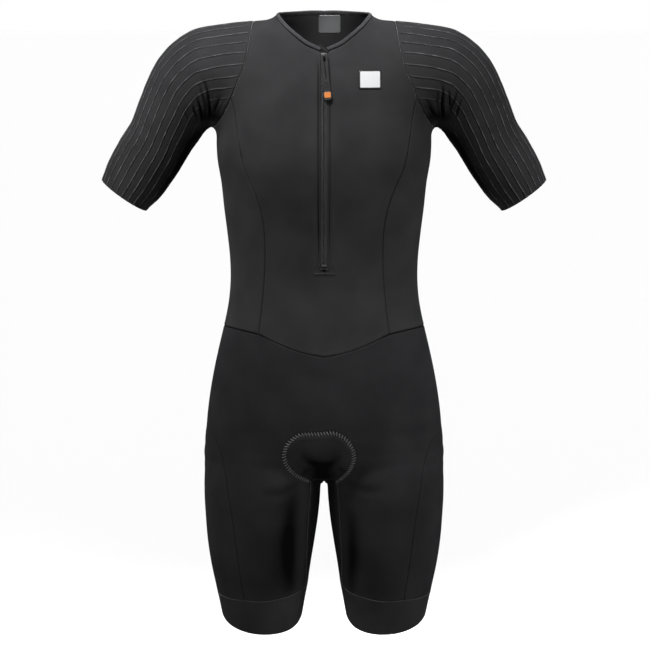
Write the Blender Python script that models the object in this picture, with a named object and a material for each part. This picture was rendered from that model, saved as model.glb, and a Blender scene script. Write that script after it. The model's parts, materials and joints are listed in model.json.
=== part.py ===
"""Triathlon suit: one piece, short sleeves, front zip and mid-thigh legs.

The suit is filled out as it is worn, and hollow. Its cloth lies on one smooth figure surface, which
is worked out from slices of a torso, two arms, a neck and two legs. A cloth panel is the patch of
that surface between its seam lines. Neighbouring panels share their seam's points, and each keeps
half of SEAM_GAP back from them. Metres; +Z up; the front faces -Y; +X is the wearer's left. The
origin is midway between the two high points of the shoulders, where the suit hangs on its wearer.
"""
import math
from collections import namedtuple

import bmesh
import bpy
import numpy as np
from mathutils import Matrix, Vector
from mathutils.bvhtree import BVHTree

# Cloth and seams
CLOTH = 0.0015            # wall of the knitted panels
GRIPPER_CLOTH = 0.0020    # wall of the doubled bands round the legs
SEAM_GAP = 0.0003         # between two pieces that meet
RIB_HEIGHT = 0.0009       # raised lines along the sleeves
RIB_HALF_WIDTH = 0.0012
BINDING_WIDTH = 0.0052    # folded tape round the neck

# Zip, down the centre front
ZIP_SLIT = 0.0042         # half width of the opening between the front's two sides
ZIP_END = -0.341          # height of the lowest open point
ZIP_END_STEP = 0.0045     # the slit closes over this height
TAPE_HALF_WIDTH = 0.0135
TAPE_THICK = 0.0008
TAPE_GAP = 0.00045
COIL_HALF_WIDTH = 0.0036
COIL_RISE = 0.0004        # stands this far out of the panels' face
SLIDER_HEIGHT = -0.0520   # middle of the slider
SLIDER_LENGTH = 0.0095
SLIDER_WIDTH = 0.0088
SLIDER_WAIST = 0.0066     # its width at the lower end
SLIDER_THICK = 0.0015
BRIDGE_WIDTH = 0.0020     # the loop that holds the pull
BRIDGE_THICK = 0.0009
BRIDGE_LENGTH = 0.0070
BRIDGE_ROOM = 0.0028      # clear height under it
PULL_LENGTH = 0.0625      # from the hinge to the tip
PULL_WIDTH = 0.0098
PULL_TIP_WIDTH = 0.0114
PULL_THICK = 0.0018
PULL_SIDE_STEP = 0.0055   # the tip hangs this far to one side of the zip
PULL_CLEARANCE = 0.0008   # least room between the pull and the cloth
PULL_BAR = 0.0012         # the cross bar that turns under the bridge
PULL_SLOT_END = 0.0340
PULL_SLOT_TOP = 0.0028    # slot's width at the bar, and at its lower end
PULL_SLOT_LOW = 0.0012
PULL_TAB_END = 0.0500
INLAY_WIDTH = 0.0086
INLAY_HEIGHT = 0.0078
INLAY_MIDDLE = 0.0556
INLAY_DEPTH = 0.0009
INLAY_GAP = 0.0003

# Figure: level slices of the torso, on a squared ellipse, front and back depths taken from y = 0
TorsoSlice = namedtuple("TorsoSlice", "height half_width front back squareness")
TORSO = [
    TorsoSlice(0.020, 0.030, 0.030, 0.030, 2.0),
    TorsoSlice(-0.010, 0.050, 0.045, 0.050, 2.0),
    TorsoSlice(-0.040, 0.085, 0.062, 0.070, 2.1),
    TorsoSlice(-0.075, 0.112, 0.083, 0.088, 2.2),
    TorsoSlice(-0.110, 0.132, 0.098, 0.098, 2.3),
    TorsoSlice(-0.150, 0.148, 0.109, 0.104, 2.35),
    TorsoSlice(-0.190, 0.1495, 0.113, 0.103, 2.35),
    TorsoSlice(-0.230, 0.1437, 0.110, 0.098, 2.3),
    TorsoSlice(-0.265, 0.1402, 0.104, 0.092, 2.3),
    TorsoSlice(-0.300, 0.1360, 0.098, 0.086, 2.3),
    TorsoSlice(-0.335, 0.1326, 0.094, 0.081, 2.3),
    TorsoSlice(-0.365, 0.1320, 0.092, 0.080, 2.3),
    TorsoSlice(-0.395, 0.1345, 0.092, 0.083, 2.3),
    TorsoSlice(-0.430, 0.1413, 0.094, 0.090, 2.3),
    TorsoSlice(-0.465, 0.1496, 0.096, 0.099, 2.3),
    TorsoSlice(-0.500, 0.1572, 0.097, 0.108, 2.3),
    TorsoSlice(-0.535, 0.1632, 0.097, 0.115, 2.3),
    TorsoSlice(-0.570, 0.1672, 0.095, 0.118, 2.3),
    TorsoSlice(-0.600, 0.1685, 0.089, 0.116, 2.25),
    TorsoSlice(-0.622, 0.1620, 0.078, 0.106, 2.2),
    TorsoSlice(-0.636, 0.1350, 0.062, 0.088, 2.1),
    TorsoSlice(-0.645, 0.0900, 0.044, 0.062, 2.0),
    TorsoSlice(-0.652, 0.0300, 0.015, 0.020, 2.0),
]
# Figure: level slices of a leg
LegSlice = namedtuple("LegSlice", "height centre_x half_width centre_y half_depth")
LEG = [
    LegSlice(-0.560, 0.0840, 0.0600, 0.004, 0.0640),
    LegSlice(-0.600, 0.0862, 0.0750, 0.004, 0.0800),
    LegSlice(-0.637, 0.0880, 0.0824, 0.005, 0.0875),
    LegSlice(-0.673, 0.0887, 0.0834, 0.006, 0.0890),
    LegSlice(-0.708, 0.0895, 0.0813, 0.008, 0.0870),
    LegSlice(-0.744, 0.0908, 0.0775, 0.009, 0.0830),
    LegSlice(-0.780, 0.0913, 0.0722, 0.010, 0.0775),
    LegSlice(-0.815, 0.0904, 0.0662, 0.011, 0.0715),
    LegSlice(-0.840, 0.0901, 0.0615, 0.012, 0.0665),
    LegSlice(-0.865, 0.0898, 0.0572, 0.013, 0.0620),
    LegSlice(-0.910, 0.0895, 0.0510, 0.014, 0.0560),
]
LEG_SQUARENESS = 2.1
# Figure: slices across a shoulder and arm, from the middle of the body outwards
ArmSlice = namedtuple("ArmSlice", "top_x top_z under_x under_z centre_y half_depth")
ARM = [
    ArmSlice(0.0000, 0.000, 0.000, -0.150, 0.004, 0.074),
    ArmSlice(0.0600, -0.003, 0.060, -0.150, 0.004, 0.074),
    ArmSlice(0.1020, -0.006, 0.105, -0.150, 0.004, 0.073),
    ArmSlice(0.1480, -0.011, 0.145, -0.151, 0.004, 0.070),
    ArmSlice(0.1820, -0.018, 0.157, -0.152, 0.005, 0.066),
    ArmSlice(0.2080, -0.034, 0.163, -0.155, 0.006, 0.062),
    ArmSlice(0.2305, -0.058, 0.169, -0.161, 0.008, 0.059),
    ArmSlice(0.2468, -0.088, 0.177, -0.172, 0.010, 0.055),
    ArmSlice(0.2588, -0.117, 0.190, -0.190, 0.012, 0.052),
    ArmSlice(0.2704, -0.146, 0.204, -0.213, 0.015, 0.049),
    ArmSlice(0.2872, -0.172, 0.219, -0.235, 0.018, 0.047),
    ArmSlice(0.3028, -0.200, 0.234, -0.254, 0.021, 0.045),
    ArmSlice(0.3140, -0.2275, 0.252, -0.2715, 0.024, 0.043),
    ArmSlice(0.3265, -0.262, 0.268, -0.303, 0.028, 0.041),
]
ARM_SQUARENESS = 2.0
STATIONS_PER_SLICE = 10
# Figure: level slices of the neck
NeckSlice = namedtuple("NeckSlice", "height half_width front back")
NECK = [
    NeckSlice(-0.060, 0.080, 0.070, 0.074),
    NeckSlice(-0.030, 0.070, 0.062, 0.066),
    NeckSlice(0.000, 0.062, 0.056, 0.057),
    NeckSlice(0.020, 0.057, 0.056, 0.048),
    NeckSlice(0.050, 0.054, 0.058, 0.042),
]
NECK_BLEND = 0.022
LEG_BLEND = 0.018
BETWEEN_LEGS_BLEND = 0.008
ARMPIT_BLEND = 0.012
SHOULDER_BLEND_GROWTH = 0.45

# Seam lines on the wearer's left half. Each knot is moved onto the figure along one axis, mostly Y.
Knot = namedtuple("Knot", "x y z")
NECK_FRONT = [
    Knot(0.0000, -0.066, -0.0465), Knot(0.0143, -0.066, -0.0417), Knot(0.0305, -0.058, -0.0315),
    Knot(0.0500, -0.040, -0.0166), Knot(0.0665, 0.004, 0.0010)]
NECK_BACK = [
    Knot(0.0665, 0.004, 0.0010), Knot(0.0580, 0.032, 0.0025), Knot(0.0360, 0.052, 0.0035),
    Knot(0.0000, 0.058, 0.0040)]
SHOULDER = [Knot(0.0665, 0.004, 0.0010), Knot(0.0800, 0.006, -0.0035), Knot(0.0975, 0.008, -0.0070)]
ARMHOLE_FRONT = [
    Knot(0.0975, 0.008, -0.0070), Knot(0.1000, -0.030, -0.0180), Knot(0.1030, -0.058, -0.0380),
    Knot(0.1080, -0.075, -0.0610), Knot(0.1170, -0.087, -0.0850), Knot(0.1265, -0.090, -0.1100)]
ARMHOLE_UNDER = [
    Knot(0.1265, -0.090, -0.1100), Knot(0.1380, -0.070, -0.1330), Knot(0.1520, -0.035, -0.1480),
    Knot(0.1580, 0.004, -0.1515), Knot(0.1520, 0.042, -0.1480), Knot(0.1380, 0.076, -0.1330),
    Knot(0.1265, 0.092, -0.1100)]
ARMHOLE_BACK = [
    Knot(0.0975, 0.008, -0.0070), Knot(0.1000, 0.045, -0.0180), Knot(0.1030, 0.066, -0.0380),
    Knot(0.1080, 0.081, -0.0610), Knot(0.1170, 0.089, -0.0850), Knot(0.1265, 0.092, -0.1100)]
SIDE_SEAM_FRONT = [
    Knot(0.1265, -0.090, -0.1100), Knot(0.1210, -0.095, -0.1350), Knot(0.1168, -0.097, -0.1650),
    Knot(0.1102, -0.099, -0.1985), Knot(0.0928, -0.100, -0.2395), Knot(0.0847, -0.098, -0.2670),
    Knot(0.0808, -0.092, -0.3080), Knot(0.0817, -0.087, -0.3495), Knot(0.0853, -0.085, -0.3910),
    Knot(0.0903, -0.085, -0.4333)]
SIDE_SEAM_BACK = [
    Knot(0.1265, 0.092, -0.1100), Knot(0.1180, 0.095, -0.1650), Knot(0.1060, 0.094, -0.2300),
    Knot(0.0970, 0.084, -0.3000), Knot(0.0945, 0.077, -0.3600), Knot(0.0980, 0.084, -0.4270)]
WAIST_FRONT = [
    Knot(0.0000, -0.095, -0.4625), Knot(0.0310, -0.094, -0.4565), Knot(0.0620, -0.091, -0.4455),
    Knot(0.0903, -0.085, -0.4333)]
WAIST_SIDE_FRONT = [
    Knot(0.0903, -0.085, -0.4333), Knot(0.1070, -0.072, -0.4310), Knot(0.1295, -0.036, -0.4295),
    Knot(0.1400, 0.004, -0.4330)]
WAIST_SIDE_BACK = [
    Knot(0.1400, 0.004, -0.4330), Knot(0.1300, 0.045, -0.4320), Knot(0.1120, 0.073, -0.4290),
    Knot(0.0980, 0.084, -0.4270)]
WAIST_BACK = [Knot(0.0980, 0.084, -0.4270), Knot(0.0620, 0.090, -0.4310), Knot(0.0000, 0.094, -0.4360)]
HIP_SIDE = [Knot(0.1400, 0.004, -0.4330), Knot(0.1620, 0.005, -0.5300), Knot(0.1690, 0.006, -0.5800)]
FRONT_MIDDLE = [Knot(0.0, -0.066, -0.0465), Knot(0.0, -0.113, -0.1900), Knot(0.0, -0.094, ZIP_END)]
FRONT_LOW_MIDDLE = [
    Knot(0.0, -0.093, ZIP_END - ZIP_END_STEP), Knot(0.0, -0.092, -0.3900), Knot(0.0, -0.095, -0.4625)]
BACK_MIDDLE = [
    Knot(0.0, 0.058, 0.004), Knot(0.0, 0.090, -0.060), Knot(0.0, 0.104, -0.150),
    Knot(0.0, 0.086, -0.300), Knot(0.0, 0.080, -0.365), Knot(0.0, 0.094, -0.436)]
SHORTS_FRONT_MIDDLE = [
    Knot(0.0, -0.095, -0.4625), Knot(0.0, -0.097, -0.530), Knot(0.0, -0.090, -0.595),
    Knot(0.0, -0.068, -0.630), Knot(0.0, -0.044, -0.6460)]
SHORTS_BACK_MIDDLE = [
    Knot(0.0, 0.094, -0.436), Knot(0.0, 0.112, -0.520), Knot(0.0, 0.112, -0.595),
    Knot(0.0, 0.090, -0.630), Knot(0.0, 0.058, -0.6460)]
OUTER_TOP_FRONT = [
    Knot(0.1690, 0.006, -0.5800), Knot(0.1650, -0.030, -0.5820), Knot(0.1520, -0.056, -0.5880)]
OUTER_TOP_BACK = [
    Knot(0.1690, 0.006, -0.5800), Knot(0.1650, 0.045, -0.5820), Knot(0.1480, 0.080, -0.5880)]
OUTER_FRONT_HIGH = [
    Knot(0.1520, -0.056, -0.5880), Knot(0.1425, -0.064, -0.6150), Knot(0.1365, -0.066, -0.6450)]
OUTER_FRONT = [
    Knot(0.1365, -0.066, -0.6450), Knot(0.1300, -0.068, -0.6900), Knot(0.1245, -0.065, -0.7330),
    Knot(0.1190, -0.058, -0.7800), Knot(0.1130, -0.053, -0.8205)]
OUTER_BACK_HIGH = [
    Knot(0.1480, 0.080, -0.5880), Knot(0.1410, 0.086, -0.6150), Knot(0.1370, 0.086, -0.6450)]
OUTER_BACK = [
    Knot(0.1370, 0.086, -0.6450), Knot(0.1300, 0.086, -0.7000), Knot(0.1210, 0.080, -0.7600),
    Knot(0.1130, 0.072, -0.8120)]
THIGH_FRONT = [
    Knot(0.1365, -0.066, -0.6450), Knot(0.0880, -0.083, -0.6530), Knot(0.0450, -0.072, -0.6500),
    Knot(0.0160, -0.047, -0.6420)]
THIGH_BACK = [
    Knot(0.1370, 0.086, -0.6450), Knot(0.0880, 0.094, -0.6530), Knot(0.0480, 0.085, -0.6500),
    Knot(0.0190, 0.062, -0.6420)]
CROTCH_FRONT = [
    Knot(0.0160, -0.047, -0.6420), Knot(0.0080, -0.045, -0.6440), Knot(0.0000, -0.044, -0.6460)]
CROTCH_BACK = [
    Knot(0.0190, 0.062, -0.6420), Knot(0.0090, 0.060, -0.6440), Knot(0.0000, 0.058, -0.6460)]
CROTCH_MIDDLE = [
    Knot(0.0000, -0.044, -0.6460), Knot(0.0000, 0.006, -0.6540), Knot(0.0000, 0.058, -0.6460)]
INNER_FRONT = [
    Knot(0.0160, -0.047, -0.6420), Knot(0.0205, -0.046, -0.6800), Knot(0.0234, -0.043, -0.7280),
    Knot(0.0252, -0.038, -0.7700), Knot(0.0262, -0.030, -0.8110)]
INNER_BACK = [
    Knot(0.0190, 0.062, -0.6420), Knot(0.0230, 0.060, -0.6800), Knot(0.0255, 0.057, -0.7280),
    Knot(0.0270, 0.052, -0.7700), Knot(0.0285, 0.046, -0.8110)]
BAND_TOP_FRONT = [
    Knot(0.1130, -0.053, -0.8205), Knot(0.0900, -0.056, -0.8215), Knot(0.0550, -0.050, -0.8180),
    Knot(0.0262, -0.030, -0.8110)]
BAND_TOP_INNER = [
    Knot(0.0262, -0.030, -0.8110), Knot(0.0235, 0.010, -0.8080), Knot(0.0285, 0.046, -0.8110)]
BAND_TOP_BACK = [
    Knot(0.0285, 0.046, -0.8110), Knot(0.0550, 0.076, -0.8140), Knot(0.0880, 0.081, -0.8150),
    Knot(0.1130, 0.072, -0.8120)]
BAND_TOP_OUTER = [
    Knot(0.1130, 0.072, -0.8120), Knot(0.1450, 0.045, -0.8180), Knot(0.1560, 0.011, -0.8220),
    Knot(0.1450, -0.028, -0.8220), Knot(0.1130, -0.053, -0.8205)]
# Hem of a leg: turn round the leg from its outer side, 90 at the front, and the hem's height there
HemPoint = namedtuple("HemPoint", "turn height")
HEM = [
    HemPoint(0.0, -0.8520), HemPoint(40.0, -0.8650), HemPoint(90.0, -0.8740), HemPoint(140.0, -0.8700),
    HemPoint(180.0, -0.8560), HemPoint(225.0, -0.8520), HemPoint(270.0, -0.8530), HemPoint(315.0, -0.8520),
    HemPoint(360.0, -0.8520)]

# Cloth cells along each seam, all of about 15 to 25 mm
NECK_CELLS = 5
SHOULDER_CELLS = 2
ARMHOLE_CELLS = 9
UNDERARM_CELLS = 6
SIDE_CELLS = 16
WAIST_CELLS = NECK_CELLS + SHOULDER_CELLS
WAIST_SIDE_CELLS = UNDERARM_CELLS // 2
SLIT_CELLS = 17
HIP_CELLS = 7
OUTER_TOP_CELLS = 3
OUTER_HIGH_CELLS = 3
CROTCH_CELLS = 2
THIGH_CELLS = WAIST_CELLS + WAIST_SIDE_CELLS - CROTCH_CELLS
LEG_CELLS = 9
INNER_CELLS = 6
PANEL_ROWS = ARMHOLE_CELLS + SIDE_CELLS
HIP_ROWS = HIP_CELLS + OUTER_TOP_CELLS + OUTER_HIGH_CELLS
OUTER_CELLS = 2 * OUTER_TOP_CELLS
BAND_CELLS = 2

# Rows of a sleeve from the armhole to the cuff, as shares of its length
SLEEVE_ROWS = [0.0, 0.045, 0.09, 0.135, 0.18, 0.235, 0.33, 0.47, 0.64, 0.82, 1.0]
CUFF_STATION = 12 * STATIONS_PER_SLICE
# Folds across the underarm: the sleeve row they lie on, their depth, where their middle lies round
# the sleeve (0 on top, 90 at the front, 180 under the arm) and how far they reach each way
Fold = namedtuple("Fold", "row depth middle reach")
FOLDS = [
    Fold(1, 0.0034, 142.0, 62.0), Fold(3, 0.0030, 136.0, 52.0), Fold(5, 0.0018, 150.0, 34.0),
    Fold(1, 0.0030, 214.0, 50.0), Fold(3, 0.0032, 222.0, 58.0), Fold(5, 0.0020, 206.0, 36.0)]

# Pieces that lie on or in the suit
PATCH_CENTRE = (0.0622, -0.0830)
PATCH_SIZE = (0.0310, 0.0256)
PATCH_THICK = 0.0006
LABEL_CENTRE = (0.0080, -0.0115)
LABEL_SIZE = (0.0315, 0.0250)
LABEL_THICK = 0.0006
CARD_CORNER = 0.0030
CARD_GAP = 0.0006
PAD_THICK = 0.0060
PAD_EDGE_THICK = 0.0018
PAD_GAP = 0.0009
# Seat pad, front to back: its middle line and half width
PadSection = namedtuple("PadSection", "y z half_width")
PAD = [
    PadSection(-0.093, -0.5760, 0.0330), PadSection(-0.086, -0.5980, 0.0500),
    PadSection(-0.072, -0.6220, 0.0500), PadSection(-0.040, -0.6400, 0.0400),
    PadSection(0.006, -0.6460, 0.0360), PadSection(0.055, -0.6400, 0.0480),
    PadSection(0.092, -0.6200, 0.0660), PadSection(0.112, -0.5850, 0.0680),
    PadSection(0.117, -0.5500, 0.0450)]
PAD_COLUMNS = 6

Finish = namedtuple("Finish", "colour roughness metallic")
KNIT = Finish((0.030, 0.030, 0.032), 0.85, 0.0)
RIBBED_KNIT = Finish((0.038, 0.038, 0.040), 0.80, 0.0)
SHORTS_KNIT = Finish((0.016, 0.016, 0.018), 0.85, 0.0)
BAND_KNIT = Finish((0.013, 0.013, 0.014), 0.75, 0.0)
TRIM = Finish((0.045, 0.045, 0.048), 0.60, 0.0)
FOAM = Finish((0.020, 0.020, 0.022), 0.90, 0.0)
ZIP_PLASTIC = Finish((0.020, 0.020, 0.021), 0.45, 0.0)
PULL_RUBBER = Finish((0.060, 0.060, 0.065), 0.50, 0.0)
PULL_ORANGE = Finish((0.850, 0.270, 0.060), 0.40, 0.0)
REFLECTIVE = Finish((0.780, 0.780, 0.790), 0.35, 0.0)
LABEL_GREY = Finish((0.180, 0.185, 0.195), 0.60, 0.0)


# ---------------------------------------------------------------- figure surface

def smooth_curve(places, values, at):
    """Cubic curve through values at places, with centred slopes, held level past both ends."""
    places = np.asarray(places, float)
    values = np.asarray(values, float)
    if places[0] > places[-1]:
        places, values = places[::-1], values[::-1]
    slopes = np.gradient(values, places)
    at = np.clip(at, places[0], places[-1])
    cell = np.clip(np.searchsorted(places, at) - 1, 0, len(places) - 2)
    width = places[cell + 1] - places[cell]
    t = (at - places[cell]) / width
    return ((1 + 2 * t) * (1 - t) ** 2 * values[cell] + t * (1 - t) ** 2 * width * slopes[cell]
            + t * t * (3 - 2 * t) * values[cell + 1] + t * t * (t - 1) * width * slopes[cell + 1])


def column(table, name):
    """One named column of a table of sections."""
    return np.array([getattr(row, name) for row in table])


def arm_stations():
    """Fine slices of the arm: middle, axis, normal, half height, centre y and half depth of each."""
    rows = np.arange(len(ARM))
    fine = np.linspace(0, len(ARM) - 1, (len(ARM) - 1) * STATIONS_PER_SLICE + 1)
    sizes = {name: smooth_curve(rows, column(ARM, name), fine) for name in ArmSlice._fields}
    top = np.stack([sizes["top_x"], sizes["top_z"]], 1)
    under = np.stack([sizes["under_x"], sizes["under_z"]], 1)
    height = np.linalg.norm(top - under, axis=1)
    axis = (top - under) / height[:, None]
    normal = np.stack([axis[:, 1], -axis[:, 0]], 1)
    return (top + under) / 2, axis, normal, height / 2, sizes["centre_y"], sizes["half_depth"]


ARM_STATIONS = arm_stations()


def section_distance(across, deep, half_width, half_depth, squareness):
    """Rough distance outside a squared ellipse, measured along the ray from its middle."""
    reach = (np.abs(across / half_width) ** squareness + np.abs(deep / half_depth) ** squareness)
    reach = np.maximum(reach ** (1 / squareness), 1e-6)
    return np.hypot(across, deep) * (1 - 1 / reach)


def past_end(distance, over):
    """Distance of points that lie past the end of a tube."""
    return np.where(over > 0, np.hypot(np.maximum(distance, 0), over), distance)


def smooth_union(first, second, reach):
    """Lower of two distances, rounded where they differ by less than reach."""
    overlap = np.maximum(reach - np.abs(first - second), 0) / reach
    return np.minimum(first, second) - overlap * overlap * reach / 4


def torso_distance(points):
    x, y, z = points.T
    half, front, back, squareness = (smooth_curve(column(TORSO, "height"), column(TORSO, name), z)
                                     for name in ("half_width", "front", "back", "squareness"))
    distance = section_distance(x, y, half, np.where(y < 0, front, back), squareness)
    return past_end(distance, np.maximum(z - TORSO[0].height, TORSO[-1].height - z))


def leg_distance(points, side):
    x, y, z = points.T
    centre, half, middle, depth = (smooth_curve(column(LEG, "height"), column(LEG, name), z)
                                   for name in ("centre_x", "half_width", "centre_y", "half_depth"))
    distance = section_distance(x * side - centre, y - middle, half, depth, LEG_SQUARENESS)
    return past_end(distance, z - LEG[0].height)


def arm_place(points):
    """Station of each point along the arm, as a cell of the fine slices and the share across it."""
    middle, _, normal = ARM_STATIONS[:3]
    side = ((np.abs(points[:, 0])[:, None] - middle[:, 0]) * normal[:, 0]
            + (points[:, 2][:, None] - middle[:, 1]) * normal[:, 1])
    cell = np.clip((side >= 0).sum(1) - 1, 0, len(middle) - 2)
    rows = np.arange(len(points))
    here, following = side[rows, cell], side[rows, cell + 1]
    span = np.where(np.abs(here - following) < 1e-9, 1e-9, here - following)
    return cell, np.clip(here / span, 0, 1)


def arm_section(cell, share):
    """Middle, axis, half height, centre y and half depth of the arm at a place between slices."""
    middle, axis, _, height, centre_y, depth = ARM_STATIONS

    def between(values):
        return (values[cell].T * (1 - share) + values[cell + 1].T * share).T

    return tuple(between(values) for values in (middle, axis, height, centre_y, depth))


def arm_distance(points):
    middle, axis, height, centre_y, depth = arm_section(*arm_place(points))
    along = ((np.abs(points[:, 0]) - middle[:, 0]) * axis[:, 0]
             + (points[:, 2] - middle[:, 1]) * axis[:, 1])
    return section_distance(along, points[:, 1] - centre_y, height, depth, ARM_SQUARENESS)


def neck_distance(points):
    x, y, z = points.T
    half, front, back = (smooth_curve(column(NECK, "height"), column(NECK, name), z)
                         for name in ("half_width", "front", "back"))
    distance = section_distance(x, y, half, np.where(y < 0, front, back), 2.0)
    return past_end(distance, NECK[0].height - z)


def figure_distance(points):
    """Signed distance-like value of the figure: 0 on its surface, below 0 inside."""
    arm_blend = ARMPIT_BLEND + SHOULDER_BLEND_GROWTH * np.abs(points[:, 1])
    body = smooth_union(torso_distance(points), arm_distance(points), arm_blend)
    body = smooth_union(body, neck_distance(points), NECK_BLEND)
    legs = smooth_union(leg_distance(points, 1), leg_distance(points, -1), BETWEEN_LEGS_BLEND)
    return smooth_union(body, legs, LEG_BLEND)


def figure_slope(points, step=2e-4):
    """Gradient of the figure's distance, by central differences."""
    slope = np.empty_like(points)
    for axis in range(3):
        shift = np.zeros(3)
        shift[axis] = step
        slope[:, axis] = (figure_distance(points + shift) - figure_distance(points - shift)) / (2 * step)
    return slope


def onto_figure(points, level=0.0, rounds=10, longest_step=0.02):
    """Points moved along the slope until they lie on the figure's surface at the given level."""
    shape = np.shape(points)
    moved = np.array(points, float).reshape(-1, 3)
    for _ in range(rounds):
        slope = figure_slope(moved)
        steep = np.maximum((slope ** 2).sum(1), 1e-6)
        step = ((figure_distance(moved) - level) / steep)[:, None] * slope
        length = np.linalg.norm(step, axis=1, keepdims=True)
        moved -= step * np.minimum(1, longest_step / np.maximum(length, 1e-9))
    moved[np.abs(moved[:, 0]) < 1e-7, 0] = 0.0
    return moved.reshape(shape)


def outward(points):
    """Unit normals of the figure's surface at points on it."""
    slope = figure_slope(points.reshape(-1, 3))
    return (slope / np.linalg.norm(slope, axis=1, keepdims=True)).reshape(points.shape)


# ---------------------------------------------------------------- seams and panels

def dropped(knots, rounds=12, longest_step=0.01, facing=0.45):
    """Knots moved onto the figure along one axis each: Y where the surface faces it, else the axis
    that the surface faces most."""
    knots = np.array(knots, float)
    normals = np.abs(outward(onto_figure(knots)))
    axes = np.where(normals[:, 1] > facing, 1, normals.argmax(1))
    rows = np.arange(len(knots))
    for _ in range(rounds):
        steep = figure_slope(knots)[rows, axes]
        steep = np.where(np.abs(steep) < 0.2, np.sign(steep) * 0.2 + (steep == 0) * 0.2, steep)
        knots[rows, axes] -= np.clip(figure_distance(knots) / steep, -longest_step, longest_step)
    return knots


def seam(knots, cells):
    """A smooth line through the knots on the figure, cut into cells of equal length."""
    knots = dropped(knots)
    run = np.concatenate([[0], np.cumsum(np.linalg.norm(np.diff(knots, axis=0), axis=1))])
    fine = np.linspace(0, run[-1], 24 * len(knots))
    line = np.stack([smooth_curve(run, knots[:, axis], fine) for axis in range(3)], 1)
    line = onto_figure(line)
    run = np.concatenate([[0], np.cumsum(np.linalg.norm(np.diff(line, axis=0), axis=1))])
    even = np.linspace(0, run[-1], cells + 1)
    points = np.stack([np.interp(even, run, line[:, axis]) for axis in range(3)], 1)
    return onto_figure(points)


def joined(*lines):
    """Lines laid end to end, with each shared end kept once."""
    return np.concatenate([lines[0]] + [line[1:] for line in lines[1:]])


def patch(top, bottom, left, right):
    """Grid of points on the figure between four lines: rows run from top to bottom."""
    across = np.linspace(0, 1, len(top))[None, :, None]
    down = np.linspace(0, 1, len(left))[:, None, None]
    grid = ((1 - down) * top[None] + down * bottom[None]
            + (1 - across) * left[:, None] + across * right[:, None]
            - (1 - across) * (1 - down) * top[0] - across * (1 - down) * top[-1]
            - (1 - across) * down * bottom[0] - across * down * bottom[-1])
    inner = onto_figure(grid[1:-1, 1:-1])
    grid[1:-1, 1:-1] = inner
    return grid


class Panel:
    """Cloth as a set of points on the figure and the four-sided cells between them."""

    def __init__(self):
        self.points = []
        self.cells = []
        self.index = {}

    def add_point(self, point):
        key = tuple(np.round(point, 6) + 0.0)
        if key not in self.index:
            self.index[key] = len(self.points)
            self.points.append(point)
        return self.index[key]

    def add_grid(self, grid, turned=False):
        """Add a grid's cells; turned swaps their winding, so that they face outwards."""
        ids = np.array([[self.add_point(point) for point in row] for row in grid])
        for row in range(len(grid) - 1):
            for col in range(len(grid[0]) - 1):
                cell = [ids[row, col], ids[row + 1, col], ids[row + 1, col + 1], ids[row, col + 1]]
                self.cells.append(cell[:1] + cell[:0:-1] if turned else cell)
        return self

    def add_both_sides(self, grid, turned=False):
        """Add a grid and its copy across the middle of the body."""
        self.add_grid(grid, turned)
        return self.add_grid(grid * MIRROR, not turned)

    def edge_links(self):
        """Free edges, as a map from each point to the next and from each point to the last."""
        edges = {(cell[i], cell[(i + 1) % 4]) for cell in self.cells for i in range(4)}
        following = {a: b for a, b in edges if (b, a) not in edges}
        return following, {b: a for a, b in following.items()}


MIRROR = np.array([-1.0, 1.0, 1.0])


def kept_back(points, normals, following, before, amount):
    """Points with those on the free edges moved inwards, in the surface, by amount."""
    moved = points.copy()
    for here, ahead in following.items():
        behind = before[here]
        sides = []
        for start, end in ((behind, here), (here, ahead)):
            along = points[end] - points[start]
            side = np.cross(normals[here], along)
            sides.append(side / np.linalg.norm(side))
        share = max(1 + float(np.dot(sides[0], sides[1])), 0.4)
        moved[here] += amount * (sides[0] + sides[1]) / share
    return moved


def rank(point):
    """Order of the points along a seam, the same for the two pieces that meet there."""
    return tuple(np.round((point[2], point[1], abs(point[0])), 6))


def wall(panel, thickness):
    """Closed wall whose outer face is the panel: its corners, and its triangles.

    Each cell of the rim is split from its higher-ranked outer corner, so that the rims of two
    neighbours are split alike and stay parallel.
    """
    points = np.array(panel.points)
    normals = outward(points)
    following, before = panel.edge_links()
    outer = kept_back(points, normals, following, before, SEAM_GAP / 2)
    inner = outer - thickness * normals
    count = len(points)
    faces = []
    for a, b, c, d in panel.cells:
        faces += [(a, b, c), (a, c, d)]
        faces += [(count + c, count + b, count + a), (count + d, count + c, count + a)]
    for a, b in following.items():
        if rank(points[a]) > rank(points[b]):
            faces += [(b, a, count + b), (a, count + a, count + b)]
        else:
            faces += [(b, a, count + a), (b, count + a, count + b)]
    return np.concatenate([outer, inner]), faces


# ---------------------------------------------------------------- objects

def clear_scene():
    for thing in list(bpy.data.objects):
        bpy.data.objects.remove(thing, do_unlink=True)


def material_for(name, finish):
    material = bpy.data.materials.new(name)
    material.use_nodes = True
    shader = material.node_tree.nodes["Principled BSDF"]
    shader.inputs["Base Color"].default_value = (*finish.colour, 1.0)
    shader.inputs["Roughness"].default_value = finish.roughness
    shader.inputs["Metallic"].default_value = finish.metallic
    return material


def put_mesh(collection, name, mesh, finish, sharp_degrees=40.0):
    """Object from a mesh, in the suit's collection, with smooth shading between its sharp edges."""
    mesh.shade_smooth()
    mesh.set_sharp_from_angle(angle=math.radians(sharp_degrees))
    mesh.materials.clear()
    mesh.materials.append(material_for(name, finish))
    thing = bpy.data.objects.new(name, mesh)
    collection.objects.link(thing)
    return thing


def put_faces(collection, name, corners, faces, finish):
    mesh = bpy.data.meshes.new(name)
    mesh.from_pydata([tuple(corner) for corner in corners], [], [tuple(face) for face in faces])
    mesh.update()
    return put_mesh(collection, name, mesh, finish)


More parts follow.
